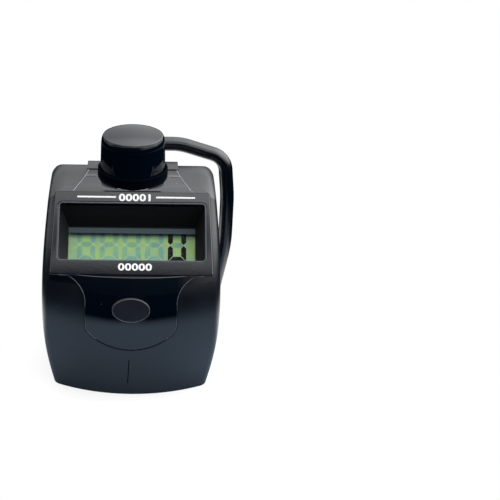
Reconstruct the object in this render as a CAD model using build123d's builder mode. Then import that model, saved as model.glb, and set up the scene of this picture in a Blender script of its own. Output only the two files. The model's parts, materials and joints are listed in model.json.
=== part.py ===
"""Digital hand tally counter: a thumb button on top, a sunken liquid crystal display,
a reset button on the front and a finger loop that swings round the back.

Millimetres. The origin is the centre of the base plane, +Z is up, the front faces -Y.
"""

import os
from math import asin, atan2, cos, degrees, radians, sin, sqrt

from build123d import *

os.makedirs("parts", exist_ok=True)

# Outer form of the body, told by plan sections at five heights
base_half_width = 21.4
belly_half_width = 23.9
foot_half_width = 23.6
chest_half_width = 22.8
shoulder_half_width = 21.6
belly_height = 21.7
foot_rise = 17.6
chest_rise = 10.7
shoulder_rise = 10.0
crown_rise = 8.3
rear_face = 18.0
base_depth = 33.0
belly_bulge = 5.2
foot_retreat = 2.6
chest_retreat = 5.7
shoulder_retreat = 4.9
base_front_radius = 44.0
belly_front_radius = 55.0
foot_front_radius = 80.0
chest_front_radius = 90.0
front_corner_radius = 3.0
rear_corner_radius = 5.0
crown_setback = 11.0
crown_radius = 40.0
brow_radius = 6.5
nape_radius = 9.0
shoulder_radius = 4.8
shoulder_margin = 0.12
barrel_flare = 0.2
wall = 1.6
cover_depth = 3.5
overrun = 4.0
fit_gap = 0.2
glue_gap = 0.05
touch_gap = 0.1
small_edge_radius = 0.2

# Display frame: a flat sloping plane through its foot and its head
frame_foot_inset = 0.6
frame_run = 10.2
frame_rise = 18.8
frame_proud = 1.0
frame_chin = 0.9
frame_chin_drop = 2.3
frame_chin_rise = 0.25
frame_foot_half_width = 21.6
frame_head_half_width = 20.35
frame_corner_radius = 0.8
frame_edge_radius = 0.4
frame_skirt = 9.0
window_sill = 3.05
window_head = 18.2
window_sill_half_width = 19.5
window_head_half_width = 19.2
window_corner_radius = 1.0

# Glossy trim: tongue below the frame, neck above it and the count button's collar
tongue_rise = 0.5
tongue_recess = 0.5
tongue_groove = 0.2
tongue_dip = 0.45
tongue_edge_radius = 0.2
tongue_half_width = 12.25
tongue_flare_half_width = 19.2
tongue_waist_drop = 7.8
tongue_corner_drop = 15.8
tongue_tip_drop = 21.9
tongue_corner_radius = 4.0
neck_rise = 0.9
neck_edge_radius = 0.4
neck_rear_setback = 11.4
neck_rear_half_width = 12.6
neck_middle_setback = 5.4
neck_middle_half_width = 13.9
neck_front_half_width = 17.3
collar_radius = 9.35
collar_rise = 2.2
collar_edge_radius = 0.35

# Raised band that carries the neck's line over the back
band_rise = 1.1
band_half_width = 12.3
band_foot = 4.0
band_groove = 0.15

# Display: liquid crystal glass lying 45 degrees behind the window
glass_slope = 45.0
glass_setback = 4.9
glass_lift = 0.8
glass_visible_length = 9.3
glass_visible_half_width = 16.85
glass_top_margin = 1.7
glass_side_margin = 1.7
glass_bottom_margin = 1.0
glass_ledge = 1.4
glass_thickness = 1.1
film_thickness = 0.2
lens_thickness = 0.8
well_wall = 0.6
well_rim_wall = 0.9
clamp_thickness = 1.0
clamp_border = 3.0

# Count button, its spring and its switch
button_setback = 10.5
button_rise = 11.75
button_foot_radius = 8.75
button_rim_radius = 8.55
button_rim_drop = 2.4
button_foot_lift = 4.9
button_step = 0.15
button_plateau_radius = 8.0
button_dome_rise = 0.5
button_shoulder_bulge = 0.1
button_wall = 1.5
button_travel = 2.0
stem_radius = 2.4
barb_radius = 3.0
barb_height = 1.1
barb_slot = 0.8
bracket_drop = 6.3
bracket_thickness = 1.6
bracket_reach_front = 5.1
bracket_reach_rear = 5.7
bracket_screw_x = 11.5
bracket_boss_radius = 2.0
column_x = 6.5
column_radius = 1.5
stake_radius = 0.6
stake_head_radius = 1.1
stake_head = 0.7
spring_mean_radius = 3.6
spring_wire_radius = 0.35
spring_turns = 7
plunger_travel = 0.25
press_clearance = 0.02
plunger_radius = 1.6
plunger_height = 0.9
plunger_depth = 1.4
switch_side = 6.0
switch_height = 3.4
switch_board_thickness = 1.0
switch_board_half_width = 9.0

# Reset button and its switch
reset_drop = 9.2
reset_half_width = 5.15
reset_half_height = 3.4
reset_gap = 0.25
reset_proud = 0.6
reset_flange_lip = 1.3
reset_flange = 1.0
reset_flange_inset = 1.1
reset_travel = 0.6
reset_stem_radius = 2.0
reset_edge_radius = 0.25
reset_switch_side = 4.5
reset_switch_height = 2.0
reset_plunger_radius = 1.0
reset_plunger_height = 0.5
reset_plunger_depth = 0.7

# Main board and what it carries
board_setback = 5.6
board_thickness = 1.2
board_half_width = 13.2
board_foot = 6.5
board_clearance = 3.3
board_post_x = 11.0
board_post_inset = 2.5
board_post_low = 9.5
board_post_radius = 1.9
chip_x = -4.5
chip_lift = 10.0
chip_radius = 4.2
chip_rise = 1.3
chip_edge_radius = 1.2
crystal_radius = 1.0
crystal_length = 6.0
crystal_x = -8.0
crystal_gap = 0.8
capacitor_radius = 2.0
capacitor_length = 5.0
capacitor_x = 9.0
capacitor_lift = 7.5
resistor_length = 1.6
resistor_width = 0.8
resistor_rise = 0.5
resistor_x = 3.2
resistor_gap = 1.5
resistor_pitch = 2.2
resistor_count = 3
ribbon_thickness = 0.2
ribbon_half_width = 8.5
ribbon_overlap = 3.0
ribbon_bend = 1.2
ribbon_drop = 0.6
ribbon_radius = 0.3
jumper_radius = 0.6
jumper_half_width = 2.0

# Button cell, its cup in the back and its two contact strips
cell_radius = 5.8
cell_thickness = 5.4
cell_rim = 1.0
cell_height = 25.0
cell_cover = 2.0
cup_wall = 1.4
contact_thickness = 0.4
contact_half_width = 1.5
contact_foot = 2.0
door_half_width = 7.8
door_foot_drop = 7.2
door_head_lift = 14.0
door_thickness = 1.5
door_corner_radius = 2.0
door_pad_radius = 4.5
door_tab_half_width = 3.0
door_tab = 1.2
door_tab_thickness = 0.55
door_screw_inset = 3.0
door_grip_margin = 2.4
door_grip_pitch = 1.6
door_grip_width = 0.8
door_grip_depth = 0.4
door_grip_count = 4

# Self-tapping screws
screw_radius = 1.0
screw_head_radius = 1.9
screw_head = 1.3
screw_bite = 8.0
screw_slot = 0.5
slot_length_share = 1.4
small_screw_radius = 0.8
small_screw_head_radius = 1.5
small_screw_head = 1.0
small_screw_bite = 3.2
boss_radius = 2.4
low_screw_x = 16.0
low_screw_height = 7.5
high_screw_x = 16.2
high_screw_drop = 11.3
high_boss_length = 13.5
rib_thickness = 1.2

# Finger loop of round rod, hinged on two pins that face each other
loop_standoff = 6.0
loop_radius = 2.0
loop_pin_clearance = 0.06
loop_top_rise = 0.7
loop_brow_x = 13.5
loop_elbow_x = 26.2
loop_elbow_drop = 4.0
loop_side_x = 27.4
loop_side_drop = 16.0
loop_side_foot_drop = 31.0
loop_heel_x = 23.6
loop_low = 6.0
loop_pin_bend = 3.2
loop_brow_bend = 14.0
loop_elbow_bend = 5.5
loop_side_bend = 45.0
loop_heel_bend = 6.5
lug_half_width = 3.5
top_lug_drop = 3.0
top_lug_length = 5.8
low_lug_rise = 3.5
low_lug_length = 5.5
pin_depth = 4.4

# Heights and depths that follow from the values above
foot_height = belly_height + foot_rise
chest_height = foot_height + chest_rise
shoulder_height = chest_height + shoulder_rise
crown_height = chest_height + crown_rise
base_front = rear_face - base_depth
belly_front = base_front - belly_bulge
foot_front = belly_front + foot_retreat
chest_front = foot_front + chest_retreat
shoulder_front = chest_front + shoulder_retreat
crown_y = shoulder_front + crown_setback
seam = rear_face - cover_depth
frame_foot_y = foot_front + frame_foot_inset
frame_head_y = frame_foot_y + frame_run
tongue_waist_height = foot_height - tongue_waist_drop
tongue_corner_height = foot_height - tongue_corner_drop
tongue_tip_height = foot_height - tongue_tip_drop
neck_rear = frame_head_y + neck_rear_setback
neck_middle = frame_head_y + neck_middle_setback
collar_height = crown_height + collar_rise
glass_foot_y = frame_foot_y + glass_setback
glass_foot_height = foot_height + glass_lift
button_y = frame_head_y + button_setback
button_top_height = crown_height + button_rise
button_rim_height = button_top_height - button_rim_drop
bracket_top = crown_height - bracket_drop
button_foot_height = bracket_top + button_foot_lift
bracket_front = button_y - bracket_reach_front
bracket_rear = button_y + bracket_reach_rear
reset_height = foot_height - reset_drop
reset_flange_front = foot_front + reset_flange_inset
board_front = foot_front + board_setback
board_head = foot_height - board_clearance
board_post_high = board_head - board_post_inset
chip_height = board_foot + chip_lift
capacitor_height = board_foot + capacitor_lift
crystal_height = cell_height + contact_half_width + crystal_gap + crystal_length
resistor_height = cell_height + contact_half_width + resistor_gap
cell_front = rear_face - cell_cover - cell_thickness
door_foot = cell_height - door_foot_drop
door_head = cell_height + door_head_lift
door_screw_height = door_head - door_screw_inset
high_screw_height = crown_height - high_screw_drop
high_boss_front = seam - high_boss_length
loop_y = rear_face + loop_standoff
loop_top = crown_height + loop_top_rise
loop_elbow_height = loop_top - loop_elbow_drop
loop_side_height = loop_top - loop_side_drop
loop_side_foot = loop_top - loop_side_foot_drop
top_lug_head = crown_height - top_lug_drop
top_lug_foot = top_lug_head - top_lug_length
low_lug_foot = loop_low + low_lug_rise
low_lug_head = low_lug_foot + low_lug_length

# Planes and lengths for the sloping pieces
lean = atan2(frame_run, frame_rise)
chin_height = foot_height - frame_chin * cos(lean)
slope_length = sqrt(frame_rise**2 + frame_run**2)
frame_foot = (0, frame_foot_y, foot_height)
frame_plane = Plane(frame_foot, x_dir=(1, 0, 0), z_dir=(0, -cos(lean), sin(lean)))
tilt = radians(glass_slope)
glass_foot = (0, glass_foot_y, glass_foot_height)
glass_plane = Plane(glass_foot, x_dir=(1, 0, 0), z_dir=(0, -cos(tilt), sin(tilt)))
stations = (
    (0, base_front, base_half_width, base_front_radius),
    (belly_height, belly_front, belly_half_width, belly_front_radius),
    (foot_height, foot_front, foot_half_width, foot_front_radius),
    (chest_height, chest_front, chest_half_width, chest_front_radius),
    (shoulder_height, shoulder_front, shoulder_half_width, chest_front_radius),
)
reach = 2 * belly_half_width
quarter_turn = 90
glass_half_width = glass_visible_half_width + glass_side_margin
glass_top = glass_visible_length + glass_top_margin
lens_front = glass_plane.offset(lens_thickness)
plate_front = glass_plane.offset(lens_thickness + well_wall)
stack_depth = 2 * glass_thickness + film_thickness
slope_back = frame_plane.offset(-frame_proud)


def display_y(height, inset):
    """Y of the body's display slope at a height, with the slope set in or out."""
    depth = (frame_proud + inset) / cos(lean)
    return frame_foot_y + depth + (height - foot_height) * frame_run / frame_rise


def body_form(inset):
    """The body's outer form, drawn in by a wall (inset above zero) or grown (below zero)."""
    with BuildPart() as form:
        for height, front, half_width, radius in stations:
            half = half_width - inset
            corner = front + inset + radius - sqrt(radius**2 - half**2)
            with BuildSketch(Plane.XY.offset(height)) as section:
                with BuildLine():
                    ThreePointArc((-half, corner), (0, front + inset), (half, corner))
                    Polyline(
                        (half, corner),
                        (half, rear_face - inset),
                        (-half, rear_face - inset),
                        (-half, corner),
                    )
                make_face()
                fillet(section.vertices().group_by(Axis.Y)[0], front_corner_radius - inset)
                fillet(section.vertices().group_by(Axis.Y)[-1], rear_corner_radius - inset)
        loft()
        with BuildSketch(Plane.YZ) as profile:
            with Locations((crown_y, crown_height - crown_radius)):
                Circle(crown_radius - inset)
            ledge = foot_height - frame_proud - inset
            top = crown_height + overrun
            with BuildLine():
                Polyline(
                    (belly_front - overrun, inset),
                    (belly_front - overrun, ledge),
                    (display_y(ledge, inset), ledge),
                    (display_y(top, inset), top),
                    (rear_face - inset, top),
                    (rear_face - inset, inset),
                    close=True,
                )
            make_face(mode=Mode.INTERSECT)
            crest = profile.vertices().filter_by(lambda v: v.Y > chest_height)
            fillet(crest.sort_by(Axis.X)[0], brow_radius - inset)
            crest = profile.vertices().filter_by(lambda v: v.X > rear_face - inset - touch_gap)
            fillet(crest.sort_by(Axis.Y)[-1], nape_radius - inset)
        extrude(amount=reach, both=True, mode=Mode.INTERSECT)
        top = crown_radius - inset
        flare = (chest_half_width - shoulder_half_width) / shoulder_rise
        top_half = shoulder_half_width - inset + shoulder_margin + flare * (shoulder_height - crown_height)
        with BuildSketch(Plane.XY.offset(crown_height - crown_radius)) as barrel:
            with BuildLine():
                Polyline(
                    (-top_half - barrel_flare * top, crown_y),
                    (-top_half, crown_y - top),
                    (top_half, crown_y - top),
                    (top_half + barrel_flare * top, crown_y),
                    close=True,
                )
            make_face()
            fillet(barrel.vertices().group_by(Axis.Y)[0], shoulder_radius - inset)
        revolve(
            axis=Axis((0, crown_y, crown_height - crown_radius), (1, 0, 0)),
            mode=Mode.INTERSECT,
        )
    return form.part


def trapezoid(low, high, low_half, high_half, grow):
    """A face on a sloping plane, symmetric about X, grown by a margin on every side."""
    with BuildSketch(Plane.XY) as face:
        with BuildLine():
            Polyline(
                (-low_half - grow, low - grow),
                (low_half + grow, low - grow),
                (high_half + grow, high + grow),
                (-high_half - grow, high + grow),
                close=True,
            )
        make_face()
    return face.sketch


def window_face(grow):
    """The display window's outline, grown by a margin."""
    return trapezoid(window_sill, window_head, window_sill_half_width, window_head_half_width, grow)


def raised_band(front, rear):
    """The broad raised band that runs over the crown and down the back."""
    with BuildPart() as band:
        add(body_form(-band_rise))
        with BuildSketch(Plane.XY.offset(band_foot)):
            with Locations((0, (front + rear) / 2)):
                Rectangle(2 * band_half_width, rear - front)
        extrude(amount=crown_height, mode=Mode.INTERSECT)
    return band.part


def tongue_face(grow, dip):
    """The tongue's outline seen from the front, grown by a margin and its tip let down."""
    half = tongue_half_width + grow
    flare = tongue_flare_half_width + grow
    corner_height = tongue_corner_height - dip
    with BuildSketch(Plane.XY) as face:
        with BuildLine():
            Line((-half, corner_height), (-half, tongue_waist_height))
            TangentArc((-half, tongue_waist_height), (-flare, chin_height), tangent=(0, 1))
            Line((-flare, chin_height), (flare, chin_height))
            TangentArc((half, tongue_waist_height), (flare, chin_height), tangent=(0, 1))
            Line((half, tongue_waist_height), (half, corner_height))
            ThreePointArc(
                (half, corner_height),
                (0, tongue_tip_height - grow - dip),
                (-half, corner_height),
            )
        make_face()
        corners = face.vertices().filter_by(lambda v: abs(v.Y - corner_height) < touch_gap)
        fillet(corners, tongue_corner_radius + grow)
    return face.sketch


def screws(places, radius, head_radius, head, length):
    """Pan-head screws with crossed slots; each place is the plane under a head, facing out."""
    with BuildPart() as group:
        for place in places:
            with BuildSketch(place):
                Circle(head_radius)
            extrude(amount=head)
            with BuildSketch(place):
                Circle(radius)
            extrude(amount=-length)
            with BuildSketch(place.offset(head / 2)):
                Rectangle(slot_length_share * head_radius, screw_slot)
                Rectangle(screw_slot, slot_length_share * head_radius)
            extrude(amount=head, mode=Mode.SUBTRACT)
    return group.part


def glass_face(low, high, half_width):
    """A rectangle on the glass plane between two distances up the slope."""
    with BuildSketch(Plane.XY) as face:
        with Locations((0, (low + high) / 2)):
            Rectangle(2 * half_width, high - low)
    return face.sketch


def funnel(grow):
    """The space from the window back to the lens, grown by a wall."""
    with BuildPart() as tunnel:
        with BuildSketch(slope_back):
            add(window_face(grow))
        with BuildSketch(lens_front):
            add(glass_face(-grow, glass_visible_length + grow, glass_visible_half_width + grow))
        loft(ruled=True)
    return tunnel.part


# Front housing: the satin shell with its posts and bosses
high_screws = ((-high_screw_x, high_screw_height), (high_screw_x, high_screw_height))
low_screws = ((-low_screw_x, low_screw_height), (low_screw_x, low_screw_height))
board_posts = [(x, z) for x in (-board_post_x, board_post_x) for z in (board_post_low, board_post_high)]
bracket_screws_at = ((-bracket_screw_x, button_y), (bracket_screw_x, button_y))
crown_band = raised_band(neck_rear + band_groove, seam)
seam_plane = Plane.XZ.offset(-seam)
board_plane = Plane.XZ.offset(-board_front)

with BuildPart() as posts:
    with BuildSketch(seam_plane):
        with Locations(*low_screws):
            Circle(boss_radius)
    extrude(amount=reach)
    with BuildSketch(seam_plane):
        with Locations(*high_screws):
            Circle(boss_radius)
        for x, z in high_screws:
            with Locations((x + x / abs(x) * reach / 2, z)):
                Rectangle(reach, rib_thickness)
    extrude(amount=seam - high_boss_front)
    with BuildSketch(board_plane):
        with Locations(*board_posts):
            Circle(board_post_radius)
    extrude(amount=reach)
    with BuildSketch(Plane.XY.offset(bracket_top)):
        with Locations(*bracket_screws_at):
            Circle(bracket_boss_radius)
    extrude(amount=reach)
    add(body_form(wall / 2), mode=Mode.INTERSECT)

with BuildPart() as tongue_bed:
    with BuildSketch(Plane.XZ):
        add(tongue_face(tongue_groove, tongue_dip))
    extrude(amount=reach)
    add(body_form(tongue_recess), mode=Mode.SUBTRACT)

with BuildPart() as front_housing:
    add(body_form(0))
    add(crown_band)
    add(tongue_bed.part, mode=Mode.SUBTRACT)
    add(body_form(wall), mode=Mode.SUBTRACT)
    add(posts.part)
    split(bisect_by=seam_plane, keep=Keep.TOP)
    with BuildSketch(frame_plane):
        add(window_face(well_wall + fit_gap))
    extrude(amount=-frame_skirt, mode=Mode.SUBTRACT)
    with BuildSketch(Plane.XY.offset(bracket_top + wall)):
        with Locations((0, button_y)):
            Circle(button_foot_radius + fit_gap)
    extrude(amount=reach, mode=Mode.SUBTRACT)
    with BuildSketch(Plane.XZ.offset(-reset_flange_front)):
        with Locations((0, reset_height)):
            Ellipse(reset_half_width + reset_gap, reset_half_height + reset_gap)
    extrude(amount=reach, mode=Mode.SUBTRACT)
    with BuildSketch(seam_plane):
        with Locations(*low_screws, *high_screws):
            Circle(screw_radius + glue_gap)
    extrude(amount=screw_bite + touch_gap, mode=Mode.SUBTRACT)
    with BuildSketch(board_plane):
        with Locations(*board_posts):
            Circle(small_screw_radius + glue_gap)
    extrude(amount=small_screw_bite + touch_gap, mode=Mode.SUBTRACT)
    with BuildSketch(Plane.XY.offset(bracket_top)):
        with Locations(*bracket_screws_at):
            Circle(small_screw_radius + glue_gap)
    extrude(amount=small_screw_bite + touch_gap, mode=Mode.SUBTRACT)
front_housing.part.label = "front_housing"
export_step(front_housing.part, "parts/front_housing.step")

# Rear cover: the dished back with the cell's cup, the door recess and the loop's two lugs
door_face = rear_face + band_rise
door_seat = door_face - door_thickness
cup_radius = cell_radius + fit_gap
cup_front = cell_front + fit_gap
head_seat = rear_face - touch_gap - screw_head
contact_slot_depth = contact_thickness + glue_gap + fit_gap
cell_axis = (0, cell_height)
door_middle = (door_foot + door_head) / 2
back_band = raised_band(seam, rear_face + overrun)

with BuildPart() as cover_inner:
    with BuildSketch(seam_plane):
        with Locations(*low_screws, *high_screws):
            Circle(boss_radius)
    extrude(amount=-reach)
    with BuildSketch(Plane.XZ.offset(-cup_front)):
        with Locations(cell_axis):
            Circle(cup_radius + cup_wall)
    extrude(amount=-reach)
    with BuildSketch(Plane.XZ.offset(-(door_seat - small_screw_bite - wall))):
        with Locations((0, door_screw_height)):
            Circle(bracket_boss_radius)
    extrude(amount=-reach)
    add(body_form(wall / 2), mode=Mode.INTERSECT)

with BuildPart() as lugs:
    for foot, head in ((top_lug_foot, top_lug_head), (low_lug_foot, low_lug_head)):
        with BuildSketch(Plane.XY.offset(foot)):
            with Locations((0, loop_y)):
                Circle(lug_half_width)
            with Locations((0, (seam + loop_y) / 2)):
                Rectangle(2 * lug_half_width, loop_y - seam)
        extrude(amount=head - foot)

with BuildPart() as rear_cover:
    add(body_form(0))
    add(back_band)
    split(bisect_by=seam_plane, keep=Keep.BOTTOM)
    add(lugs.part)
    add(body_form(wall), mode=Mode.SUBTRACT)
    add(cover_inner.part)
    with BuildSketch(Plane.XY.offset(top_lug_head)):
        with Locations((0, loop_y)):
            Circle(loop_radius + loop_pin_clearance)
    extrude(amount=-pin_depth - fit_gap, mode=Mode.SUBTRACT)
    with BuildSketch(Plane.XY.offset(low_lug_foot)):
        with Locations((0, loop_y)):
            Circle(loop_radius + loop_pin_clearance)
    extrude(amount=pin_depth + fit_gap, mode=Mode.SUBTRACT)
    with BuildSketch(Plane.XZ.offset(-head_seat)):
        with Locations(*low_screws, *high_screws):
            Circle(screw_head_radius + fit_gap)
    extrude(amount=-reach, mode=Mode.SUBTRACT)
    with BuildSketch(seam_plane):
        with Locations(*low_screws, *high_screws):
            Circle(screw_radius + fit_gap)
    extrude(amount=-reach, mode=Mode.SUBTRACT)
    with BuildSketch(Plane.XZ.offset(-door_seat)) as recess:
        with Locations((0, door_middle)):
            Rectangle(2 * (door_half_width + fit_gap), door_head - door_foot + 2 * fit_gap)
        fillet(recess.vertices(), door_corner_radius + fit_gap)
    extrude(amount=-(door_thickness + overrun), mode=Mode.SUBTRACT)
    with BuildSketch(Plane.XZ.offset(-door_seat)):
        with Locations((0, door_foot)):
            Rectangle(2 * (door_tab_half_width + fit_gap), 2 * (door_tab + fit_gap))
    extrude(amount=-(door_tab_thickness + fit_gap), mode=Mode.SUBTRACT)
    with BuildSketch(Plane.XZ.offset(-cup_front)):
        with Locations(cell_axis):
            Circle(cup_radius)
    extrude(amount=-(door_face - cup_front), mode=Mode.SUBTRACT)
    with BuildSketch(Plane.XZ.offset(-cup_front)):
        with Locations((cell_radius, cell_height)):
            Rectangle(2 * (contact_slot_depth + touch_gap), 2 * (contact_half_width + fit_gap))
    extrude(amount=-(cell_thickness - cell_rim), mode=Mode.SUBTRACT)
    with BuildSketch(Plane.XZ.offset(-door_seat)):
        with Locations((0, door_screw_height)):
            Circle(small_screw_radius + glue_gap)
    extrude(amount=small_screw_bite + touch_gap, mode=Mode.SUBTRACT)
rear_cover.part.label = "rear_cover"
export_step(rear_cover.part, "parts/rear_cover.step")

# Front trim: one glossy moulding with the frame, the tongue, the neck and the button's collar
with BuildPart() as frame_block:
    with BuildSketch(frame_plane) as rim:
        add(trapezoid(-frame_chin, slope_length, frame_foot_half_width, frame_head_half_width, 0))
        fillet(rim.vertices(), frame_corner_radius)
    extrude(amount=-frame_skirt)
    with BuildSketch(frame_plane) as opening:
        add(window_face(0))
        fillet(opening.vertices(), window_corner_radius)
    extrude(amount=-frame_skirt, mode=Mode.SUBTRACT)
    face_edges = frame_block.faces().sort_by(Axis(frame_plane.origin, frame_plane.z_dir))[-1].edges()
    fillet(face_edges, frame_edge_radius)

with BuildPart() as chin:
    add(body_form(-frame_chin_rise - glue_gap))
    with BuildSketch(Plane.XY.offset(chin_height - frame_chin_drop)):
        with Locations((0, foot_front)):
            Rectangle(2 * frame_foot_half_width, 2 * frame_skirt)
    extrude(amount=frame_chin_drop, mode=Mode.INTERSECT)

with BuildPart() as tongue:
    with BuildSketch(Plane.XZ):
        add(tongue_face(0, 0))
    extrude(amount=reach)
    add(body_form(-tongue_rise - glue_gap), mode=Mode.INTERSECT)
    fillet(tongue.faces().sort_by(Axis.Y)[0].edges(), tongue_edge_radius)
    add(body_form(tongue_recess - glue_gap), mode=Mode.SUBTRACT)

with BuildPart() as neck:
    add(body_form(-neck_rise - glue_gap))
    with BuildSketch(Plane.XY.offset(chest_height)):
        with BuildLine():
            ThreePointArc(
                (-neck_rear_half_width, neck_rear),
                (-neck_middle_half_width, neck_middle),
                (-neck_front_half_width, frame_head_y - frame_proud),
            )
            Line(
                (-neck_front_half_width, frame_head_y - frame_proud),
                (neck_front_half_width, frame_head_y - frame_proud),
            )
            ThreePointArc(
                (neck_front_half_width, frame_head_y - frame_proud),
                (neck_middle_half_width, neck_middle),
                (neck_rear_half_width, neck_rear),
            )
            Line((neck_rear_half_width, neck_rear), (-neck_rear_half_width, neck_rear))
        make_face()
    extrude(amount=reach, mode=Mode.INTERSECT)
    rims = neck.edges().filter_by(lambda e: e.bounding_box().min.Z > chest_height + overrun)
    side_rims = rims.filter_by(lambda e: abs(e.center().X) > neck_rear_half_width)
    fillet([rims.sort_by(Axis.Y)[-1], *side_rims], neck_edge_radius)

with BuildPart() as collar:
    with BuildSketch(Plane.XY.offset(chest_height)):
        with Locations((0, button_y)):
            Circle(collar_radius)
    extrude(amount=collar_height - chest_height)
    fillet(collar.edges().filter_by(GeomType.CIRCLE).sort_by(Axis.Z)[-1], collar_edge_radius)

with BuildPart() as front_trim:
    add(frame_block.part)
    add(chin.part)
    add(neck.part)
    add(collar.part)
    add(body_form(-glue_gap), mode=Mode.SUBTRACT)
    add(crown_band, mode=Mode.SUBTRACT)
    add(tongue.part)
    add(funnel(well_wall + touch_gap), mode=Mode.SUBTRACT)
    with BuildSketch(Plane.XY.offset(chest_height)):
        with Locations((0, button_y)):
            Circle(button_foot_radius + fit_gap)
    extrude(amount=reach, mode=Mode.SUBTRACT)
    with BuildSketch(Plane.XZ.offset(-reset_flange_front)):
        with Locations((0, reset_height)):
            Ellipse(reset_half_width + reset_gap, reset_half_height + reset_gap)
    extrude(amount=reach, mode=Mode.SUBTRACT)
front_trim.part.label = "front_trim"
export_step(front_trim.part, "parts/front_trim.step")

# Display well: the funnel behind the window and the pocket that holds the glass
funnel_outside = funnel(well_wall)
funnel_inside = funnel(0)
rim_top = glass_top + touch_gap + well_rim_wall
rim_half_width = glass_half_width + touch_gap + well_rim_wall

with BuildPart() as display_well:
    add(funnel_outside)
    with BuildSketch(plate_front):
        add(glass_face(-glass_bottom_margin, rim_top, rim_half_width))
    extrude(amount=-(well_wall + lens_thickness + stack_depth + clamp_thickness))
    with BuildSketch(lens_front):
        add(glass_face(-glass_bottom_margin - overrun, glass_top + touch_gap, glass_half_width + touch_gap))
    extrude(amount=-(lens_thickness + stack_depth + clamp_thickness), mode=Mode.SUBTRACT)
    add(funnel_inside, mode=Mode.SUBTRACT)
display_well.part.label = "display_well"
export_step(display_well.part, "parts/display_well.step")

# Display stack: lens, two glasses, reflector film and the clamp behind them
with BuildPart() as display_lens:
    with BuildSketch(glass_plane):
        add(glass_face(-glass_bottom_margin, glass_top, glass_half_width))
    extrude(amount=lens_thickness)
display_lens.part.label = "display_lens"
export_step(display_lens.part, "parts/display_lens.step")

with BuildPart() as front_glass:
    with BuildSketch(glass_plane):
        add(glass_face(-glass_bottom_margin - glass_ledge, glass_top, glass_half_width))
    extrude(amount=-glass_thickness)
front_glass.part.label = "front_glass"
export_step(front_glass.part, "parts/front_glass.step")

with BuildPart() as rear_glass:
    with BuildSketch(glass_plane.offset(-glass_thickness)):
        add(glass_face(-glass_bottom_margin, glass_top, glass_half_width))
    extrude(amount=-glass_thickness)
rear_glass.part.label = "rear_glass"
export_step(rear_glass.part, "parts/rear_glass.step")

with BuildPart() as reflector_film:
    with BuildSketch(glass_plane.offset(-2 * glass_thickness)):
        add(glass_face(-glass_bottom_margin, glass_top, glass_half_width))
    extrude(amount=-film_thickness)
reflector_film.part.label = "reflector_film"
export_step(reflector_film.part, "parts/reflector_film.step")

clamp_half_width = glass_half_width - clamp_border
with BuildPart() as display_clamp:
    with BuildSketch(glass_plane.offset(-stack_depth)) as border:
        add(glass_face(-glass_bottom_margin, glass_top, glass_half_width))
        add(glass_face(clamp_border - glass_bottom_margin, glass_top - clamp_border, clamp_half_width),
            mode=Mode.SUBTRACT)
    extrude(amount=-clamp_thickness)
display_clamp.part.label = "display_clamp"
export_step(display_clamp.part, "parts/display_clamp.step")

# Display ribbon: from the front glass's ledge down to the main board
ribbon_front = board_front - ribbon_thickness / 2
ledge_depth = glass_thickness + ribbon_thickness / 2
ledge_high = glass_plane.from_local_coords((0, -glass_bottom_margin - touch_gap, -ledge_depth))
ledge_low = glass_plane.from_local_coords((0, -glass_bottom_margin - glass_ledge - touch_gap, -ledge_depth))

with BuildPart() as display_ribbon:
    with BuildSketch(Plane.YZ):
        with BuildLine() as route:
            FilletPolyline(
                (ledge_high.Y, ledge_high.Z),
                (ledge_low.Y, ledge_low.Z),
                (ribbon_front, board_head - ribbon_drop),
                (ribbon_front, board_head - ribbon_overlap),
                radius=ribbon_radius,
            )
        trace(line_width=ribbon_thickness)
    extrude(amount=ribbon_half_width, both=True)
display_ribbon.part.label = "display_ribbon"
export_step(display_ribbon.part, "parts/display_ribbon.step")

# Count button: a hollow cap with a split, barbed stem
bracket_foot = bracket_top - bracket_thickness
stem_foot = bracket_foot - touch_gap - barb_height
cap_ceiling = button_rim_height - button_dome_rise
dome_radius = (button_plateau_radius**2 + button_dome_rise**2) / (2 * button_dome_rise)
dome_angle = degrees(asin(button_plateau_radius / dome_radius))

with BuildPart() as count_button:
    with BuildSketch(Plane.XZ.offset(-button_y)):
        with BuildLine():
            Polyline(
                (0, button_top_height),
                (0, stem_foot),
                (stem_radius, stem_foot),
                (barb_radius, stem_foot + barb_height / 2),
                (barb_radius, stem_foot + barb_height),
                (stem_radius, stem_foot + barb_height),
                (stem_radius, cap_ceiling),
                (button_rim_radius - button_wall, cap_ceiling),
                (button_foot_radius - button_wall, button_foot_height),
                (button_foot_radius, button_foot_height),
                (button_rim_radius, button_rim_height),
                (button_rim_radius - button_step, button_rim_height),
            )
            ThreePointArc(
                (button_rim_radius - button_step, button_rim_height),
                (
                    (button_rim_radius - button_step + button_plateau_radius) / 2 + button_shoulder_bulge,
                    (button_rim_height + button_top_height) / 2 + button_shoulder_bulge,
                ),
                (button_plateau_radius, button_top_height - button_dome_rise),
            )
            dome_centre = (0, button_top_height - dome_radius)
            CenterArc(dome_centre, dome_radius, quarter_turn - dome_angle, dome_angle)
        make_face()
    revolve(axis=Axis((0, button_y, 0), (0, 0, 1)))
    with BuildSketch(Plane.XY.offset(stem_foot)):
        with Locations((0, button_y)):
            Rectangle(barb_slot, 2 * (barb_radius + touch_gap))
    extrude(amount=bracket_thickness + 2 * barb_height, mode=Mode.SUBTRACT)
count_button.part.label = "count_button"
export_step(count_button.part, "parts/count_button.step")

# Return spring round the stem, between the bracket and the cap
spring_low = bracket_top + spring_wire_radius + glue_gap
spring_rise = cap_ceiling - glue_gap - spring_wire_radius - spring_low

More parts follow.
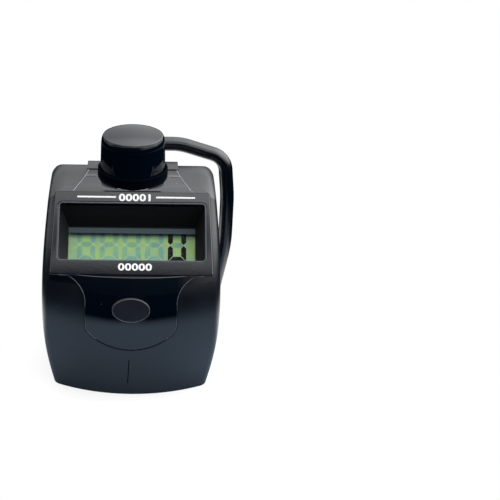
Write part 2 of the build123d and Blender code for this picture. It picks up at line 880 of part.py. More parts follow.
with BuildPart() as count_spring:
    with BuildLine(Plane((0, button_y, spring_low))):
        coil = Helix(pitch=spring_rise / spring_turns, height=spring_rise, radius=spring_mean_radius)
    with BuildSketch(Plane(origin=coil @ 0, z_dir=coil % 0)):
        Circle(spring_wire_radius)
    sweep(path=coil, is_frenet=True)
count_spring.part.label = "count_spring"
export_step(count_spring.part, "parts/count_spring.step")

# Switch bracket: the plate that guides the stem, with two columns for the switch board
plunger_top = stem_foot - (button_travel - plunger_travel) - press_clearance
switch_top = plunger_top - plunger_height
board_top = switch_top - switch_height
board_under = board_top - switch_board_thickness
columns_at = ((-column_x, button_y), (column_x, button_y))
bracket_half_width = bracket_screw_x + bracket_boss_radius

with BuildPart() as switch_bracket:
    with BuildSketch(Plane.XY.offset(bracket_foot)) as plate:
        with Locations((0, (bracket_front + bracket_rear) / 2)):
            Rectangle(2 * bracket_half_width, bracket_rear - bracket_front)
        fillet(plate.vertices(), bracket_boss_radius)
        with Locations((0, button_y)):
            Circle(stem_radius + touch_gap, mode=Mode.SUBTRACT)
        with Locations(*bracket_screws_at):
            Circle(small_screw_radius + fit_gap, mode=Mode.SUBTRACT)
    extrude(amount=bracket_thickness)
    with BuildSketch(Plane.XY.offset(board_top)):
        with Locations(*columns_at):
            Circle(column_radius)
    extrude(amount=bracket_foot - board_top)
    with BuildSketch(Plane.XY.offset(board_under)):
        with Locations(*columns_at):
            Circle(stake_radius)
    extrude(amount=switch_board_thickness)
    with BuildSketch(Plane.XY.offset(board_under)):
        with Locations(*columns_at):
            Circle(stake_head_radius)
    extrude(amount=-stake_head)
switch_bracket.part.label = "switch_bracket"
export_step(switch_bracket.part, "parts/switch_bracket.step")

bracket_screw_places = [Plane((x, y, bracket_foot), z_dir=(0, 0, -1)) for x, y in bracket_screws_at]
bracket_screws = screws(
    bracket_screw_places,
    small_screw_radius,
    small_screw_head_radius,
    small_screw_head,
    bracket_thickness + small_screw_bite,
)
bracket_screws.label = "bracket_screws"
export_step(bracket_screws, "parts/bracket_screws.step")

# Switch board with the count switch and its plunger
with BuildPart() as switch_board:
    with BuildSketch(Plane.XY.offset(board_under)):
        with Locations((0, (bracket_front + bracket_rear) / 2)):
            Rectangle(2 * switch_board_half_width, bracket_rear - bracket_front)
        with Locations(*columns_at):
            Circle(stake_radius + glue_gap, mode=Mode.SUBTRACT)
    extrude(amount=switch_board_thickness)
switch_board.part.label = "switch_board"
export_step(switch_board.part, "parts/switch_board.step")

with BuildPart() as count_switch:
    with BuildSketch(Plane.XY.offset(board_top)) as base:
        with Locations((0, button_y)):
            Rectangle(switch_side, switch_side)
        fillet(base.vertices(), small_edge_radius)
    extrude(amount=switch_height)
    with BuildSketch(Plane.XY.offset(switch_top)):
        with Locations((0, button_y)):
            Circle(plunger_radius + touch_gap)
    extrude(amount=-(plunger_depth + plunger_travel + fit_gap), mode=Mode.SUBTRACT)
count_switch.part.label = "count_switch"
export_step(count_switch.part, "parts/count_switch.step")

with BuildPart() as count_plunger:
    with BuildSketch(Plane.XY.offset(plunger_top)):
        with Locations((0, button_y)):
            Circle(plunger_radius)
    extrude(amount=-(plunger_height + plunger_depth))
    chamfer(count_plunger.edges().sort_by(Axis.Z)[-1], small_edge_radius)
count_plunger.part.label = "count_plunger"
export_step(count_plunger.part, "parts/count_plunger.step")

# Reset button: an oval that follows the tongue's surface, with a flange and a stem
reset_form = body_form(-tongue_rise - glue_gap - reset_proud)
reset_plunger_top = board_front - reset_switch_height - reset_plunger_height
reset_stem_end = reset_plunger_top - (reset_travel - plunger_travel) - press_clearance
flange_plane = Plane.XZ.offset(-reset_flange_front)

with BuildPart() as reset_button:
    with BuildSketch(flange_plane):
        with Locations((0, reset_height)):
            Ellipse(reset_half_width, reset_half_height)
    extrude(amount=reach)
    add(reset_form, mode=Mode.INTERSECT)
    fillet(reset_button.faces().sort_by(Axis.Y)[0].edges(), reset_edge_radius)
    with BuildSketch(flange_plane):
        with Locations((0, reset_height)):
            Ellipse(reset_half_width + reset_flange_lip, reset_half_height + reset_flange_lip)
    extrude(amount=-reset_flange)
    with BuildSketch(flange_plane):
        with Locations((0, reset_height)):
            Circle(reset_stem_radius)
    extrude(amount=reset_flange_front - reset_stem_end)
reset_button.part.label = "reset_button"
export_step(reset_button.part, "parts/reset_button.step")

with BuildPart() as reset_switch:
    with BuildSketch(board_plane):
        with Locations((0, reset_height)):
            Rectangle(reset_switch_side, reset_switch_side)
    extrude(amount=reset_switch_height)
    with BuildSketch(board_plane.offset(reset_switch_height)):
        with Locations((0, reset_height)):
            Circle(reset_plunger_radius + touch_gap)
    extrude(amount=-(reset_plunger_depth + plunger_travel + fit_gap), mode=Mode.SUBTRACT)
reset_switch.part.label = "reset_switch"
export_step(reset_switch.part, "parts/reset_switch.step")

with BuildPart() as reset_plunger:
    with BuildSketch(board_plane.offset(reset_switch_height - reset_plunger_depth)):
        with Locations((0, reset_height)):
            Circle(reset_plunger_radius)
    extrude(amount=reset_plunger_depth + reset_plunger_height)
reset_plunger.part.label = "reset_plunger"
export_step(reset_plunger.part, "parts/reset_plunger.step")

# Main board and its parts
board_rear = board_front + board_thickness
board_rear_plane = Plane.XZ.offset(-board_rear)

with BuildPart() as main_board:
    with BuildSketch(board_plane):
        with Locations((0, (board_foot + board_head) / 2)):
            Rectangle(2 * board_half_width, board_head - board_foot)
        with Locations(*board_posts):
            Circle(small_screw_radius + fit_gap, mode=Mode.SUBTRACT)
    extrude(amount=-board_thickness)
main_board.part.label = "main_board"
export_step(main_board.part, "parts/main_board.step")

board_screws = screws(
    [Plane((x, board_rear, z), z_dir=(0, 1, 0)) for x, z in board_posts],
    small_screw_radius,
    small_screw_head_radius,
    small_screw_head,
    board_thickness + small_screw_bite,
)
board_screws.label = "board_screws"
export_step(board_screws, "parts/board_screws.step")

with BuildPart() as chip_cover:
    with BuildSketch(board_rear_plane):
        with Locations((chip_x, chip_height)):
            Circle(chip_radius)
    extrude(amount=-chip_rise)
    fillet(chip_cover.edges().filter_by(GeomType.CIRCLE).sort_by(Axis.Y)[-1], chip_edge_radius)
chip_cover.part.label = "chip_cover"
export_step(chip_cover.part, "parts/chip_cover.step")

with BuildPart() as crystal:
    with BuildSketch(Plane.XY.offset(crystal_height)):
        with Locations((crystal_x, board_rear + crystal_radius)):
            Circle(crystal_radius)
    extrude(amount=-crystal_length)
    fillet(crystal.edges().filter_by(GeomType.CIRCLE), small_edge_radius)
crystal.part.label = "crystal"
export_step(crystal.part, "parts/crystal.step")

with BuildPart() as capacitor:
    with BuildSketch(board_rear_plane):
        with Locations((capacitor_x, capacitor_height)):
            Circle(capacitor_radius)
    extrude(amount=-capacitor_length)
    fillet(capacitor.edges().filter_by(GeomType.CIRCLE).sort_by(Axis.Y)[-1], small_edge_radius)
capacitor.part.label = "capacitor"
export_step(capacitor.part, "parts/capacitor.step")

with BuildPart() as resistors:
    with BuildSketch(board_rear_plane):
        for step in range(resistor_count):
            with Locations((resistor_x, resistor_height + step * resistor_pitch)):
                Rectangle(resistor_length, resistor_width)
    extrude(amount=-resistor_rise)
resistors.part.label = "resistors"
export_step(resistors.part, "parts/resistors.step")

# Jumper: the flat lead from the switch board down to the main board
jumper_top = board_under - ribbon_thickness / 2
jumper_back = board_rear + ribbon_thickness / 2

with BuildPart() as board_jumper:
    with BuildSketch(Plane.YZ):
        with BuildLine():
            FilletPolyline(
                (button_y, jumper_top),
                (bracket_front + ribbon_bend, jumper_top),
                (jumper_back, board_head - ribbon_bend),
                (jumper_back, board_head - ribbon_overlap - ribbon_bend),
                radius=jumper_radius,
            )
        trace(line_width=ribbon_thickness)
    extrude(amount=jumper_half_width, both=True)
board_jumper.part.label = "board_jumper"
export_step(board_jumper.part, "parts/board_jumper.step")

# Button cell and its contacts
with BuildPart() as button_cell:
    with BuildSketch(Plane.XZ.offset(-cell_front)):
        with Locations(cell_axis):
            Circle(cell_radius - cell_rim)
    extrude(amount=-cell_thickness)
    with BuildSketch(Plane.XZ.offset(-(cell_front + cell_rim))):
        with Locations(cell_axis):
            Circle(cell_radius)
    extrude(amount=-(cell_thickness - cell_rim))
    fillet(button_cell.edges().filter_by(GeomType.CIRCLE).sort_by(Axis.Y)[-1], small_edge_radius)
button_cell.part.label = "button_cell"
export_step(button_cell.part, "parts/button_cell.step")

negative_side = -(cup_radius + cup_wall + contact_thickness)
with BuildPart() as negative_contact:
    with BuildSketch(Plane.XY.offset(cell_height - contact_half_width)):
        with BuildLine():
            Polyline(
                (cell_radius / 2, cell_front),
                (negative_side - contact_thickness, cell_front),
                (negative_side - contact_thickness, board_rear),
                (negative_side + contact_foot, board_rear),
                (negative_side + contact_foot, board_rear + contact_thickness),
                (negative_side, board_rear + contact_thickness),
                (negative_side, cell_front - contact_thickness),
                (cell_radius / 2, cell_front - contact_thickness),
                close=True,
            )
        make_face()
    extrude(amount=2 * contact_half_width)
negative_contact.part.label = "negative_contact"
export_step(negative_contact.part, "parts/negative_contact.step")

positive_side = cell_radius + glue_gap
positive_end = cell_front + cell_thickness - cell_rim
with BuildPart() as positive_contact:
    with BuildSketch(Plane.XY.offset(cell_height - contact_half_width)):
        with BuildLine():
            Polyline(
                (positive_side, positive_end),
                (positive_side, board_rear),
                (positive_side + contact_foot, board_rear),
                (positive_side + contact_foot, board_rear + contact_thickness),
                (positive_side + contact_thickness, board_rear + contact_thickness),
                (positive_side + contact_thickness, positive_end),
                close=True,
            )
        make_face()
    extrude(amount=2 * contact_half_width)
positive_contact.part.label = "positive_contact"
export_step(positive_contact.part, "parts/positive_contact.step")

# Cell door with its tab, pressing pad and finger grooves
with BuildPart() as cell_door:
    with BuildSketch(Plane.XZ.offset(-door_seat)) as plate:
        with Locations((0, door_middle)):
            Rectangle(2 * door_half_width, door_head - door_foot)
        fillet(plate.vertices(), door_corner_radius)
    extrude(amount=-door_thickness)
    with BuildSketch(Plane.XZ.offset(-door_seat)):
        with Locations(cell_axis):
            Circle(door_pad_radius)
    extrude(amount=door_seat - touch_gap - cell_front - cell_thickness)
    with BuildSketch(Plane.XZ.offset(-door_seat)):
        with Locations((0, door_foot)):
            Rectangle(2 * door_tab_half_width, 2 * door_tab)
    extrude(amount=-door_tab_thickness)
    with BuildSketch(Plane.XZ.offset(-door_face)):
        with Locations((0, door_screw_height)):
            Circle(small_screw_head_radius + fit_gap)
    extrude(amount=small_screw_head, mode=Mode.SUBTRACT)
    with BuildSketch(Plane.XZ.offset(-door_face)):
        with Locations((0, door_screw_height)):
            Circle(small_screw_radius + fit_gap)
    extrude(amount=door_thickness, mode=Mode.SUBTRACT)
    with BuildSketch(Plane.XZ.offset(-door_face)):
        for step in range(door_grip_count):
            with Locations((0, door_foot + door_grip_margin + step * door_grip_pitch)):
                Rectangle(door_half_width, door_grip_width)
    extrude(amount=door_grip_depth, mode=Mode.SUBTRACT)
cell_door.part.label = "cell_door"
export_step(cell_door.part, "parts/cell_door.step")

door_screw = screws(
    [Plane((0, door_face - small_screw_head, door_screw_height), z_dir=(0, 1, 0))],
    small_screw_radius,
    small_screw_head_radius,
    small_screw_head,
    small_screw_bite,
)
door_screw.label = "door_screw"
export_step(door_screw, "parts/door_screw.step")

housing_screws = screws(
    [Plane((x, head_seat, z), z_dir=(0, 1, 0)) for x, z in low_screws + high_screws],
    screw_radius,
    screw_head_radius,
    screw_head,
    head_seat - seam + screw_bite,
)
housing_screws.label = "housing_screws"
export_step(housing_screws, "parts/housing_screws.step")

# Finger loop: one round rod from the top pin out to the right and back to the low pin
with BuildPart() as finger_loop:
    with BuildLine(Plane.XZ.offset(-loop_y)) as rod:
        FilletPolyline(
            (0, top_lug_head - pin_depth),
            (0, loop_top),
            (loop_brow_x, loop_top),
            (loop_elbow_x, loop_elbow_height),
            (loop_side_x, loop_side_height),
            (loop_side_x, loop_side_foot),
            (loop_heel_x, loop_low),
            (0, loop_low),
            (0, low_lug_foot + pin_depth),
            radius=(
                loop_pin_bend,
                loop_brow_bend,
                loop_elbow_bend,
                loop_side_bend,
                loop_side_bend,
                loop_heel_bend,
                loop_pin_bend,
            ),
        )
    with BuildSketch(Plane(origin=rod.line @ 0, z_dir=rod.line % 0)):
        Circle(loop_radius)
    sweep(path=rod.line)
finger_loop.part.label = "finger_loop"
export_step(finger_loop.part, "parts/finger_loop.step")
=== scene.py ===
"""Looks of the digital tally counter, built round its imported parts.

Named sizes are in millimetres, and metres() turns them into Blender's metres.
"""

import json
from math import atan2, cos, pi, radians, sin, tau

import bmesh
import bpy
from mathutils import Matrix, Vector
from mathutils.bvhtree import BVHTree


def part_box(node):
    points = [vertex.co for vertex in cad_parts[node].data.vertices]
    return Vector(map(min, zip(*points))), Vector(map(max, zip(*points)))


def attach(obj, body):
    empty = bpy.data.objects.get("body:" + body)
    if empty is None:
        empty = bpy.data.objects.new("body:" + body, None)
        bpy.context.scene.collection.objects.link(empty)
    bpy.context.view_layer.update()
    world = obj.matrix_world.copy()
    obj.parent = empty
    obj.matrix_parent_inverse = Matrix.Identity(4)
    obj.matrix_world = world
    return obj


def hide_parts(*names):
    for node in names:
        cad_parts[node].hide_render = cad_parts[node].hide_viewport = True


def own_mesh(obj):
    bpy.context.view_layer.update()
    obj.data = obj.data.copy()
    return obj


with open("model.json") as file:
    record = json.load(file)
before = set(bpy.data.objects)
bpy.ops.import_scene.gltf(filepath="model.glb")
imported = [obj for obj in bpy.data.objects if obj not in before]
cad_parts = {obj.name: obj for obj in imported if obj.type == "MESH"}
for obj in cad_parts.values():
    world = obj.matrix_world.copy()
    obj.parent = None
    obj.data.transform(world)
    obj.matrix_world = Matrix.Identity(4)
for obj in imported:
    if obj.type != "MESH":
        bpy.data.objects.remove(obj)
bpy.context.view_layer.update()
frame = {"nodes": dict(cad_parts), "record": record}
MILLIMETRE = 0.001

# The photograph's camera, in its own 500 by 500 pixels
photo_side = 500
optical_x = 131.4
optical_y = 273.4
focal_pixels = 1262.1
sensor_width = 36.0
camera_distance = 350.0
camera_elevation = radians(28.0)
camera_roll = radians(0.75)
target_height = 30.0
nearest_seen = 0.01
farthest_seen = 20.0

# Studio: brightness, where 1 is white, at degrees from the front over the top to the back
studio_arch = (
    (0.0, 0.02),
    (18.0, 0.04),
    (29.0, 0.05),
    (29.4, 1.5),
    (30.0, 0.6),
    (31.4, 0.7),
    (32.4, 2.0),
    (42.0, 1.2),
    (50.0, 0.6),
    (56.0, 0.9),
    (62.0, 2.1),
    (86.0, 2.45),
    (122.0, 2.3),
    (136.0, 1.7),
    (143.0, 1.45),
    (148.0, 1.35),
    (154.0, 0.85),
    (165.0, 0.8),
    (180.0, 1.0),
)
brightest = 2.5

# Studio, as shares of a direction's length sideways or upwards: dimmer sides, a lamp at the
# right, and a right half that is a little stronger than the left
side_start = 0.6
side_end = 0.9
side_share = 0.75
right_light = 1.6
right_start = 0.3
right_end = 0.75
right_foot = -0.2
right_head = 0.3
slant_reach = 0.1
slant_left = 0.8
slant_right = 1.15

# Floor: the white paper near the counter, its dark far parts, and the shadow that the camera sees
floor_radius = 2000.0
floor_tint = "#8798ab"
floor_side = "#ffffff"
floor_dark = "#030405"
floor_seen = "#fbfbfb"
white_reach = 54.0
white_end = 88.0
bright_side_start = 32.0
bright_side_end = 60.0
side_lean = 1.0
dark_patch_distance = 146.0
dark_patch_radius = 64.0
dark_patch_end = 84.0
shadow_reach = 18.0
shadow_end = 38.0
shadow_share = 0.3

# Display frame and display glass, as the counter's maker would give them
frame_foot = Vector((0, -17.0, 39.3))
frame_head = Vector((0, -6.8, 58.1))
glass_foot = Vector((0, -12.1, 40.1))
glass_slope = radians(45.0)
ink_thickness = 0.05

# Fine specks on the plastics, drawn coarse enough to show: settled dust, and on the reset button
# painted glints
dust_and_glint_spacing = 1.3
dust_and_glint_core_share = 0.04
dust_and_glint_rim_share = 0.09
dust_and_glint_colour = "#8b929a"

# Print on the frame: two lines and two rows of plain numerals
print_height = 1.72
print_head_level = 19.55
print_foot_level = 1.35
print_shift = 0.9
print_stretch = 1.36
print_spacing = 1.06
print_bold = 0.075
digit_share = 0.69
line_thickness = 0.42
line_level = 19.75
left_line = (-14.4, -4.3)
right_line = (6.2, 16.4)

# Seven-stroke figures of the display, on the glass and in levels up its slope
figure_height = 9.0
figure_width = 4.87
figure_pitch = 6.03
figure_count = 5
figure_middle_level = 4.55
last_figure_x = 12.05
stroke_width = 1.33
stroke_gap = 0.2
figure_thickness = 0.04
# Painted shade on the crystal, fading in between these levels up the glass's slope
shade_foot_level = 5.6
shade_head_level = 7.5
light_line_gap = -0.06
light_line_thickness = 0.02
# Painted shade along the display's upper edge: a grey band, and a black band above it, on the
# cover
shade_band_foot_level = 7.45
shade_band_head_level = 8.95
shade_band_half_width = 16.95
shade_mask_head_level = 9.7

# Clear cover over the glass, which stands just clear of the figures
cover_rear = 0.08
cover_front = 0.8
cover_foot_level = -0.95
cover_head_level = 10.95
cover_half_width = 18.5
cover_edge_radius = 0.12
cover_edge_steps = 3

# Return spring under the thumb button
spring_radius = 3.6
spring_wire = 0.35
spring_turns = 7
spring_steps = 24
spring_sides = 10

# Fine parting line low on the front, drawn in black painted shade
parting_top = 13.2
parting_foot = 4.2
parting_x = -0.35
parting_lean = -0.3
parting_width = 0.12
parting_rise = 0.05
parting_steps = 12

# Sides of a round lip, and the rays that seat it on its node
lip_sides = 12
ray_start = 100
backwards = Vector((0, 1, 0))
downwards = Vector((0, 0, -1))

# Window's lip, on the frame's plane
window_sill = 3.05
window_head = 18.2
window_sill_half_width = 19.5
window_head_half_width = 19.2
window_corner_radius = 1.0
window_corner_steps = 8
window_lip_radius = 0.22
window_lip_sink = 0.16

# Tongue's lip with a pale painted highlight, and a black line of painted shade in the gap outside
# it, seen from the front
tongue_half_width = 12.25
tongue_flare_half_width = 19.2
tongue_waist_height = 31.5
tongue_corner_height = 23.5
tongue_tip_height = 17.4
tongue_top_height = 38.5
tongue_corner_radius = 4.0
tongue_flare_steps = 24
tongue_corner_steps = 10
tongue_tip_steps = 20
tongue_lip_radius = 0.11
tongue_lip_end = 9.0
tongue_gap_radius = 0.24
tongue_gap_grow = 0.14
tongue_gap_dip = 0.26

# Neck's side lips and ridges with pale painted highlights, and the crease in front of it drawn as
# a black line of painted shade, seen from above
neck_steps = 24
neck_rear_y = 4.4
neck_middle_y = -1.4
neck_front_y = -6.5
neck_rear_half_width = 12.6
neck_middle_half_width = 13.9
neck_front_half_width = 16.5
neck_lip_inset = 0.7
neck_lip_radius = 0.15
neck_ridge_y = 0.6
neck_ridge_inner = 9.7
neck_ridge_length = 3.1
neck_ridge_radius = 0.2
neck_crease_y = -6.75
neck_crease_half_width = 7.4
neck_crease_radius = 0.15

# Lip with a pale painted highlight at the front of the collar's foot, an arc whose angles are in
# radians
collar_lip_setback = 2.45
collar_lip_sweep = 12.0
collar_lip_start = 4.37
collar_lip_end = 5.06
collar_lip_radius = 0.1

# Painted shade: a flat black ring round the thumb button's foot
shade_ring_inner_radius = 8.95
shade_ring_outer_radius = 9.42
shade_ring_foot = 55.0
shade_ring_head = 60.54
shade_ring_bevel = 0.12

# Reset button's rim, with a painted highlight
reset_half_width = 5.15
reset_half_height = 3.4
reset_height = 30.1
reset_lip_radius = 0.09

# Domed face of the thumb button
button_face_radius = 7.95
button_dome_radius = 64.25
button_face_lift = 0.03
button_face_steps = 16

# Steps of whatever is round, and the distance in metres at which doubled points are merged
round_steps = 96
merge_reach = 1e-7

# Grain of the materials, the levels of their noise between which a finish changes, and how much
# smoother and rougher a metal's streaks are
broad_grain = 9.0
metal_grain = 0.4
crystal_grain = 3.2
uneven_low = 0.3
uneven_high = 0.7
mottle_low = 0.4
mottle_high = 0.6
streak_smoother = 0.08
streak_rougher = 0.1


def metres(*place):
    """A place in millimetres as a vector in metres."""
    return Vector(place) * MILLIMETRE


def linear(colour):
    """An sRGB hex colour as linear RGBA."""
    shares = [int(colour[i : i + 2], 16) / 255 for i in (1, 3, 5)]
    return [s / 12.92 if s <= 0.04045 else ((s + 0.055) / 1.055) ** 2.4 for s in shares] + [1.0]


def add_node(tree, kind, inputs=None, **settings):
    """Adds one node: settings are its own properties, inputs its sockets' values or links."""
    made = tree.nodes.new(kind)
    for name, value in settings.items():
        setattr(made, name, value)
    for name, value in (inputs or {}).items():
        if isinstance(value, bpy.types.NodeSocket):
            tree.links.new(value, made.inputs[name])
        else:
            made.inputs[name].default_value = value
    return made


def new_material(name, **values):
    """A material with one Principled shader, and the values of that shader's sockets."""
    material = bpy.data.materials.new(name)
    material.use_nodes = True
    shader = material.node_tree.nodes["Principled BSDF"]
    for socket, value in values.items():
        shader.inputs[socket.replace("_", " ")].default_value = value
    return material, material.node_tree, shader


def per_millimetre(size):
    """Noise scale whose grains are that many millimetres across."""
    return 1 / (size * MILLIMETRE)


def moulded_plastic(
    name, colour, roughness, roughness_spread, grain, grain_depth, specular=0.5, dust_and_glints=0.0
):
    """Moulded plastic or ink: a fine grain, slightly uneven gloss and a share of settled dust.

    The grain's size and depth are in millimetres, and dust_and_glints is the share of places with
    a pale speck: specks that settle from the air, and on the reset button painted glints.
    """
    material, tree, shader = new_material(
        name,
        Base_Color=linear(colour),
        IOR=1.5,
        Specular_IOR_Level=specular,
    )
    place = add_node(tree, "ShaderNodeTexCoord")
    fine = add_node(
        tree,
        "ShaderNodeTexNoise",
        {"Vector": place.outputs["Object"], "Scale": per_millimetre(grain), "Detail": 3.0},
    )
    broad = add_node(
        tree,
        "ShaderNodeTexNoise",
        {"Vector": place.outputs["Object"], "Scale": per_millimetre(broad_grain), "Detail": 2.0},
    )
    spread = add_node(
        tree,
        "ShaderNodeMapRange",
        {
            "Value": broad.outputs["Fac"],
            "From Min": uneven_low,
            "From Max": uneven_high,
            "To Min": roughness - roughness_spread,
            "To Max": roughness + roughness_spread,
        },
    )
    bump = add_node(
        tree,
        "ShaderNodeBump",
        {"Height": fine.outputs["Fac"], "Distance": grain_depth * MILLIMETRE, "Strength": 1.0},
    )
    tree.links.new(spread.outputs["Result"], shader.inputs["Roughness"])
    tree.links.new(bump.outputs["Normal"], shader.inputs["Normal"])
    if dust_and_glints:
        cells = add_node(
            tree,
            "ShaderNodeTexVoronoi",
            {"Vector": place.outputs["Object"], "Scale": per_millimetre(dust_and_glint_spacing)},
        )
        speck = add_node(
            tree,
            "ShaderNodeMapRange",
            {
                "Value": cells.outputs["Distance"],
                "From Min": dust_and_glint_core_share,
                "From Max": dust_and_glint_rim_share,
                "To Min": 1.0,
                "To Max": 0.0,
            },
            interpolation_type="SMOOTHSTEP",
        )
        chance = add_node(tree, "ShaderNodeSeparateColor", {"Color": cells.outputs["Color"]})
        picked = add_node(
            tree, "ShaderNodeMath", {0: chance.outputs["Red"], 1: dust_and_glints}, operation="LESS_THAN"
        )
        speck_share = add_node(
            tree,
            "ShaderNodeMath",
            {0: speck.outputs["Result"], 1: picked.outputs["Value"]},
            operation="MULTIPLY",
        )
        specked = add_node(
            tree,
            "ShaderNodeMix",
            {"Factor": speck_share.outputs["Value"], "A": linear(colour), "B": linear(dust_and_glint_colour)},
            data_type="RGBA",
        )
        tree.links.new(specked.outputs["Result"], shader.inputs["Base Color"])
    return material


def metal(name, colour, roughness, streak):
    """Drawn, pressed or plated metal with fine streaks."""
    material, tree, shader = new_material(name, Base_Color=linear(colour), Metallic=1.0)
    place = add_node(tree, "ShaderNodeTexCoord")
    stretch = add_node(
        tree,
        "ShaderNodeMapping",
        {"Vector": place.outputs["Object"], "Scale": (1.0, 1.0, streak)},
    )
    noise = add_node(
        tree,
        "ShaderNodeTexNoise",
        {
            "Vector": stretch.outputs["Vector"],
            "Scale": per_millimetre(metal_grain),
            "Detail": 4.0,
        },
    )
    spread = add_node(
        tree,
        "ShaderNodeMapRange",
        {
            "Value": noise.outputs["Fac"],
            "To Min": roughness - streak_smoother,
            "To Max": roughness + streak_rougher,
        },
    )
    tree.links.new(spread.outputs["Result"], shader.inputs["Roughness"])
    return material


def display_finish(name, colour, second, shaded):
    """Liquid crystal colour: slightly mottled, and greyer in a painted shade near the glass's
    upper edge.
    """
    material, tree, shader = new_material(name, Roughness=0.4, IOR=1.5, Specular_IOR_Level=0.1)
    place = add_node(tree, "ShaderNodeTexCoord")
    cloud = add_node(
        tree,
        "ShaderNodeTexNoise",
        {
            "Vector": place.outputs["Object"],
            "Scale": per_millimetre(crystal_grain),
            "Detail": 2.0,
        },
    )
    patches = add_node(
        tree,
        "ShaderNodeMapRange",
        {"Value": cloud.outputs["Fac"], "From Min": mottle_low, "From Max": mottle_high},
        interpolation_type="SMOOTHSTEP",
    )
    mottled = add_node(
        tree,
        "ShaderNodeMix",
        {"Factor": patches.outputs["Result"], "A": linear(colour), "B": linear(second)},
        data_type="RGBA",
    )
    slope = (0, cos(glass_slope), sin(glass_slope))
    along = add_node(
        tree,
        "ShaderNodeVectorMath",
        {0: place.outputs["Object"], 1: slope},
        operation="DOT_PRODUCT",
    )
    start = glass_foot.dot(Vector(slope))
    shade = add_node(
        tree,
        "ShaderNodeMapRange",
        {
            "Value": along.outputs["Value"],
            "From Min": (start + shade_foot_level) * MILLIMETRE,
            "From Max": (start + shade_head_level) * MILLIMETRE,
        },
        interpolation_type="SMOOTHSTEP",
    )
    dimmed = add_node(
        tree,
        "ShaderNodeMix",
        {
            "Factor": shade.outputs["Result"],
            "A": mottled.outputs["Result"],
            "B": linear(shaded),
        },
        data_type="RGBA",
    )
    tree.links.new(dimmed.outputs["Result"], shader.inputs["Base Color"])
    return material


def camera():
    """The camera that took the photograph, aimed and shifted as fitted to it."""
    lens = bpy.data.cameras.new("camera")
    lens.sensor_width = sensor_width
    lens.lens = focal_pixels / photo_side * sensor_width
    lens.shift_x = (photo_side / 2 - optical_x) / photo_side
    lens.shift_y = (optical_y - photo_side / 2) / photo_side
    lens.clip_start = nearest_seen
    lens.clip_end = farthest_seen
    holder = bpy.data.objects.new("camera", lens)
    place = metres(
        0,
        -camera_distance * cos(camera_elevation),
        target_height + camera_distance * sin(camera_elevation),
    )
    tilt = Matrix.Rotation(pi / 2 - camera_elevation, 4, "X")
    roll = Matrix.Rotation(camera_roll, 4, "Z")
    holder.matrix_world = Matrix.Translation(place) @ tilt @ roll
    bpy.context.scene.collection.objects.link(holder)
    bpy.context.scene.camera = holder


def studio_world():
    """Soft light from in front over the top to the wall behind, and a lamp at the right.

    The camera itself sees plain white.
    """
    world = bpy.data.worlds.new("studio")
    bpy.context.scene.world = world
    world.use_nodes = True
    tree = world.node_tree
    tree.nodes.clear()
    place = add_node(tree, "ShaderNodeTexCoord")
    way = add_node(tree, "ShaderNodeSeparateXYZ", {"Vector": place.outputs["Generated"]}).outputs
    ahead = add_node(tree, "ShaderNodeMath", {0: way["Y"], 1: -1.0}, operation="MULTIPLY")
    angle = add_node(
        tree, "ShaderNodeMath", {0: way["Z"], 1: ahead.outputs["Value"]}, operation="ARCTAN2"
    )
    share = add_node(
        tree, "ShaderNodeMath", {0: angle.outputs["Value"], 1: pi}, operation="DIVIDE"
    )
    arch = add_node(tree, "ShaderNodeValToRGB", {"Fac": share.outputs["Value"]})
    stops = arch.color_ramp.elements
    while len(stops) < len(studio_arch):
        stops.new(1.0)
    for stop, (degrees, light) in zip(stops, studio_arch):
        stop.position = degrees / 180
        stop.color = [light / brightest] * 3 + [1.0]
    aside = add_node(tree, "ShaderNodeMath", {0: way["X"]}, operation="ABSOLUTE")
    sides = add_node(
        tree,
        "ShaderNodeMapRange",
        {
            "Value": aside.outputs["Value"],
            "From Min": side_start,
            "From Max": side_end,
            "To Min": brightest,
            "To Max": brightest * side_share,
        },
        interpolation_type="SMOOTHSTEP",
    )
    arched = add_node(
        tree,
        "ShaderNodeMath",
        {0: arch.outputs["Color"], 1: sides.outputs["Result"]},
        operation="MULTIPLY",
    )
    rightward = add_node(
        tree,
        "ShaderNodeMapRange",
        {
            "Value": way["X"],
            "From Min": right_start,
            "From Max": right_end,
            "To Max": right_light,
        },
        interpolation_type="SMOOTHSTEP",
    )
    raised = add_node(
        tree,
        "ShaderNodeMapRange",
        {"Value": way["Z"], "From Min": right_foot, "From Max": right_head},
        interpolation_type="SMOOTHSTEP",
    )
    lamp = add_node(
        tree,
        "ShaderNodeMath",
        {0: rightward.outputs["Result"], 1: raised.outputs["Result"]},
        operation="MULTIPLY",
    )
    room = add_node(
        tree,
        "ShaderNodeMath",
        {0: arched.outputs["Value"], 1: lamp.outputs["Value"]},
        operation="ADD",
    )
    slant = add_node(
        tree,
        "ShaderNodeMapRange",
        {
            "Value": way["X"],
            "From Min": -slant_reach,
            "From Max": slant_reach,
            "To Min": slant_left,
            "To Max": slant_right,
        },
        interpolation_type="SMOOTHSTEP",
    )
    slanted = add_node(
        tree,
        "ShaderNodeMath",
        {0: room.outputs["Value"], 1: slant.outputs["Result"]},
        operation="MULTIPLY",
    )
    path = add_node(tree, "ShaderNodeLightPath")
    seen = add_node(
        tree,
        "ShaderNodeMix",
        {
            "Factor": path.outputs["Is Camera Ray"],
            "A": slanted.outputs["Value"],
            "B": 1.0,
        },
    )
    light = add_node(
        tree,
        "ShaderNodeBackground",
        {"Color": linear("#ffffff"), "Strength": seen.outputs["Result"]},
    )
    add_node(tree, "ShaderNodeOutputWorld", {"Surface": light.outputs["Background"]})


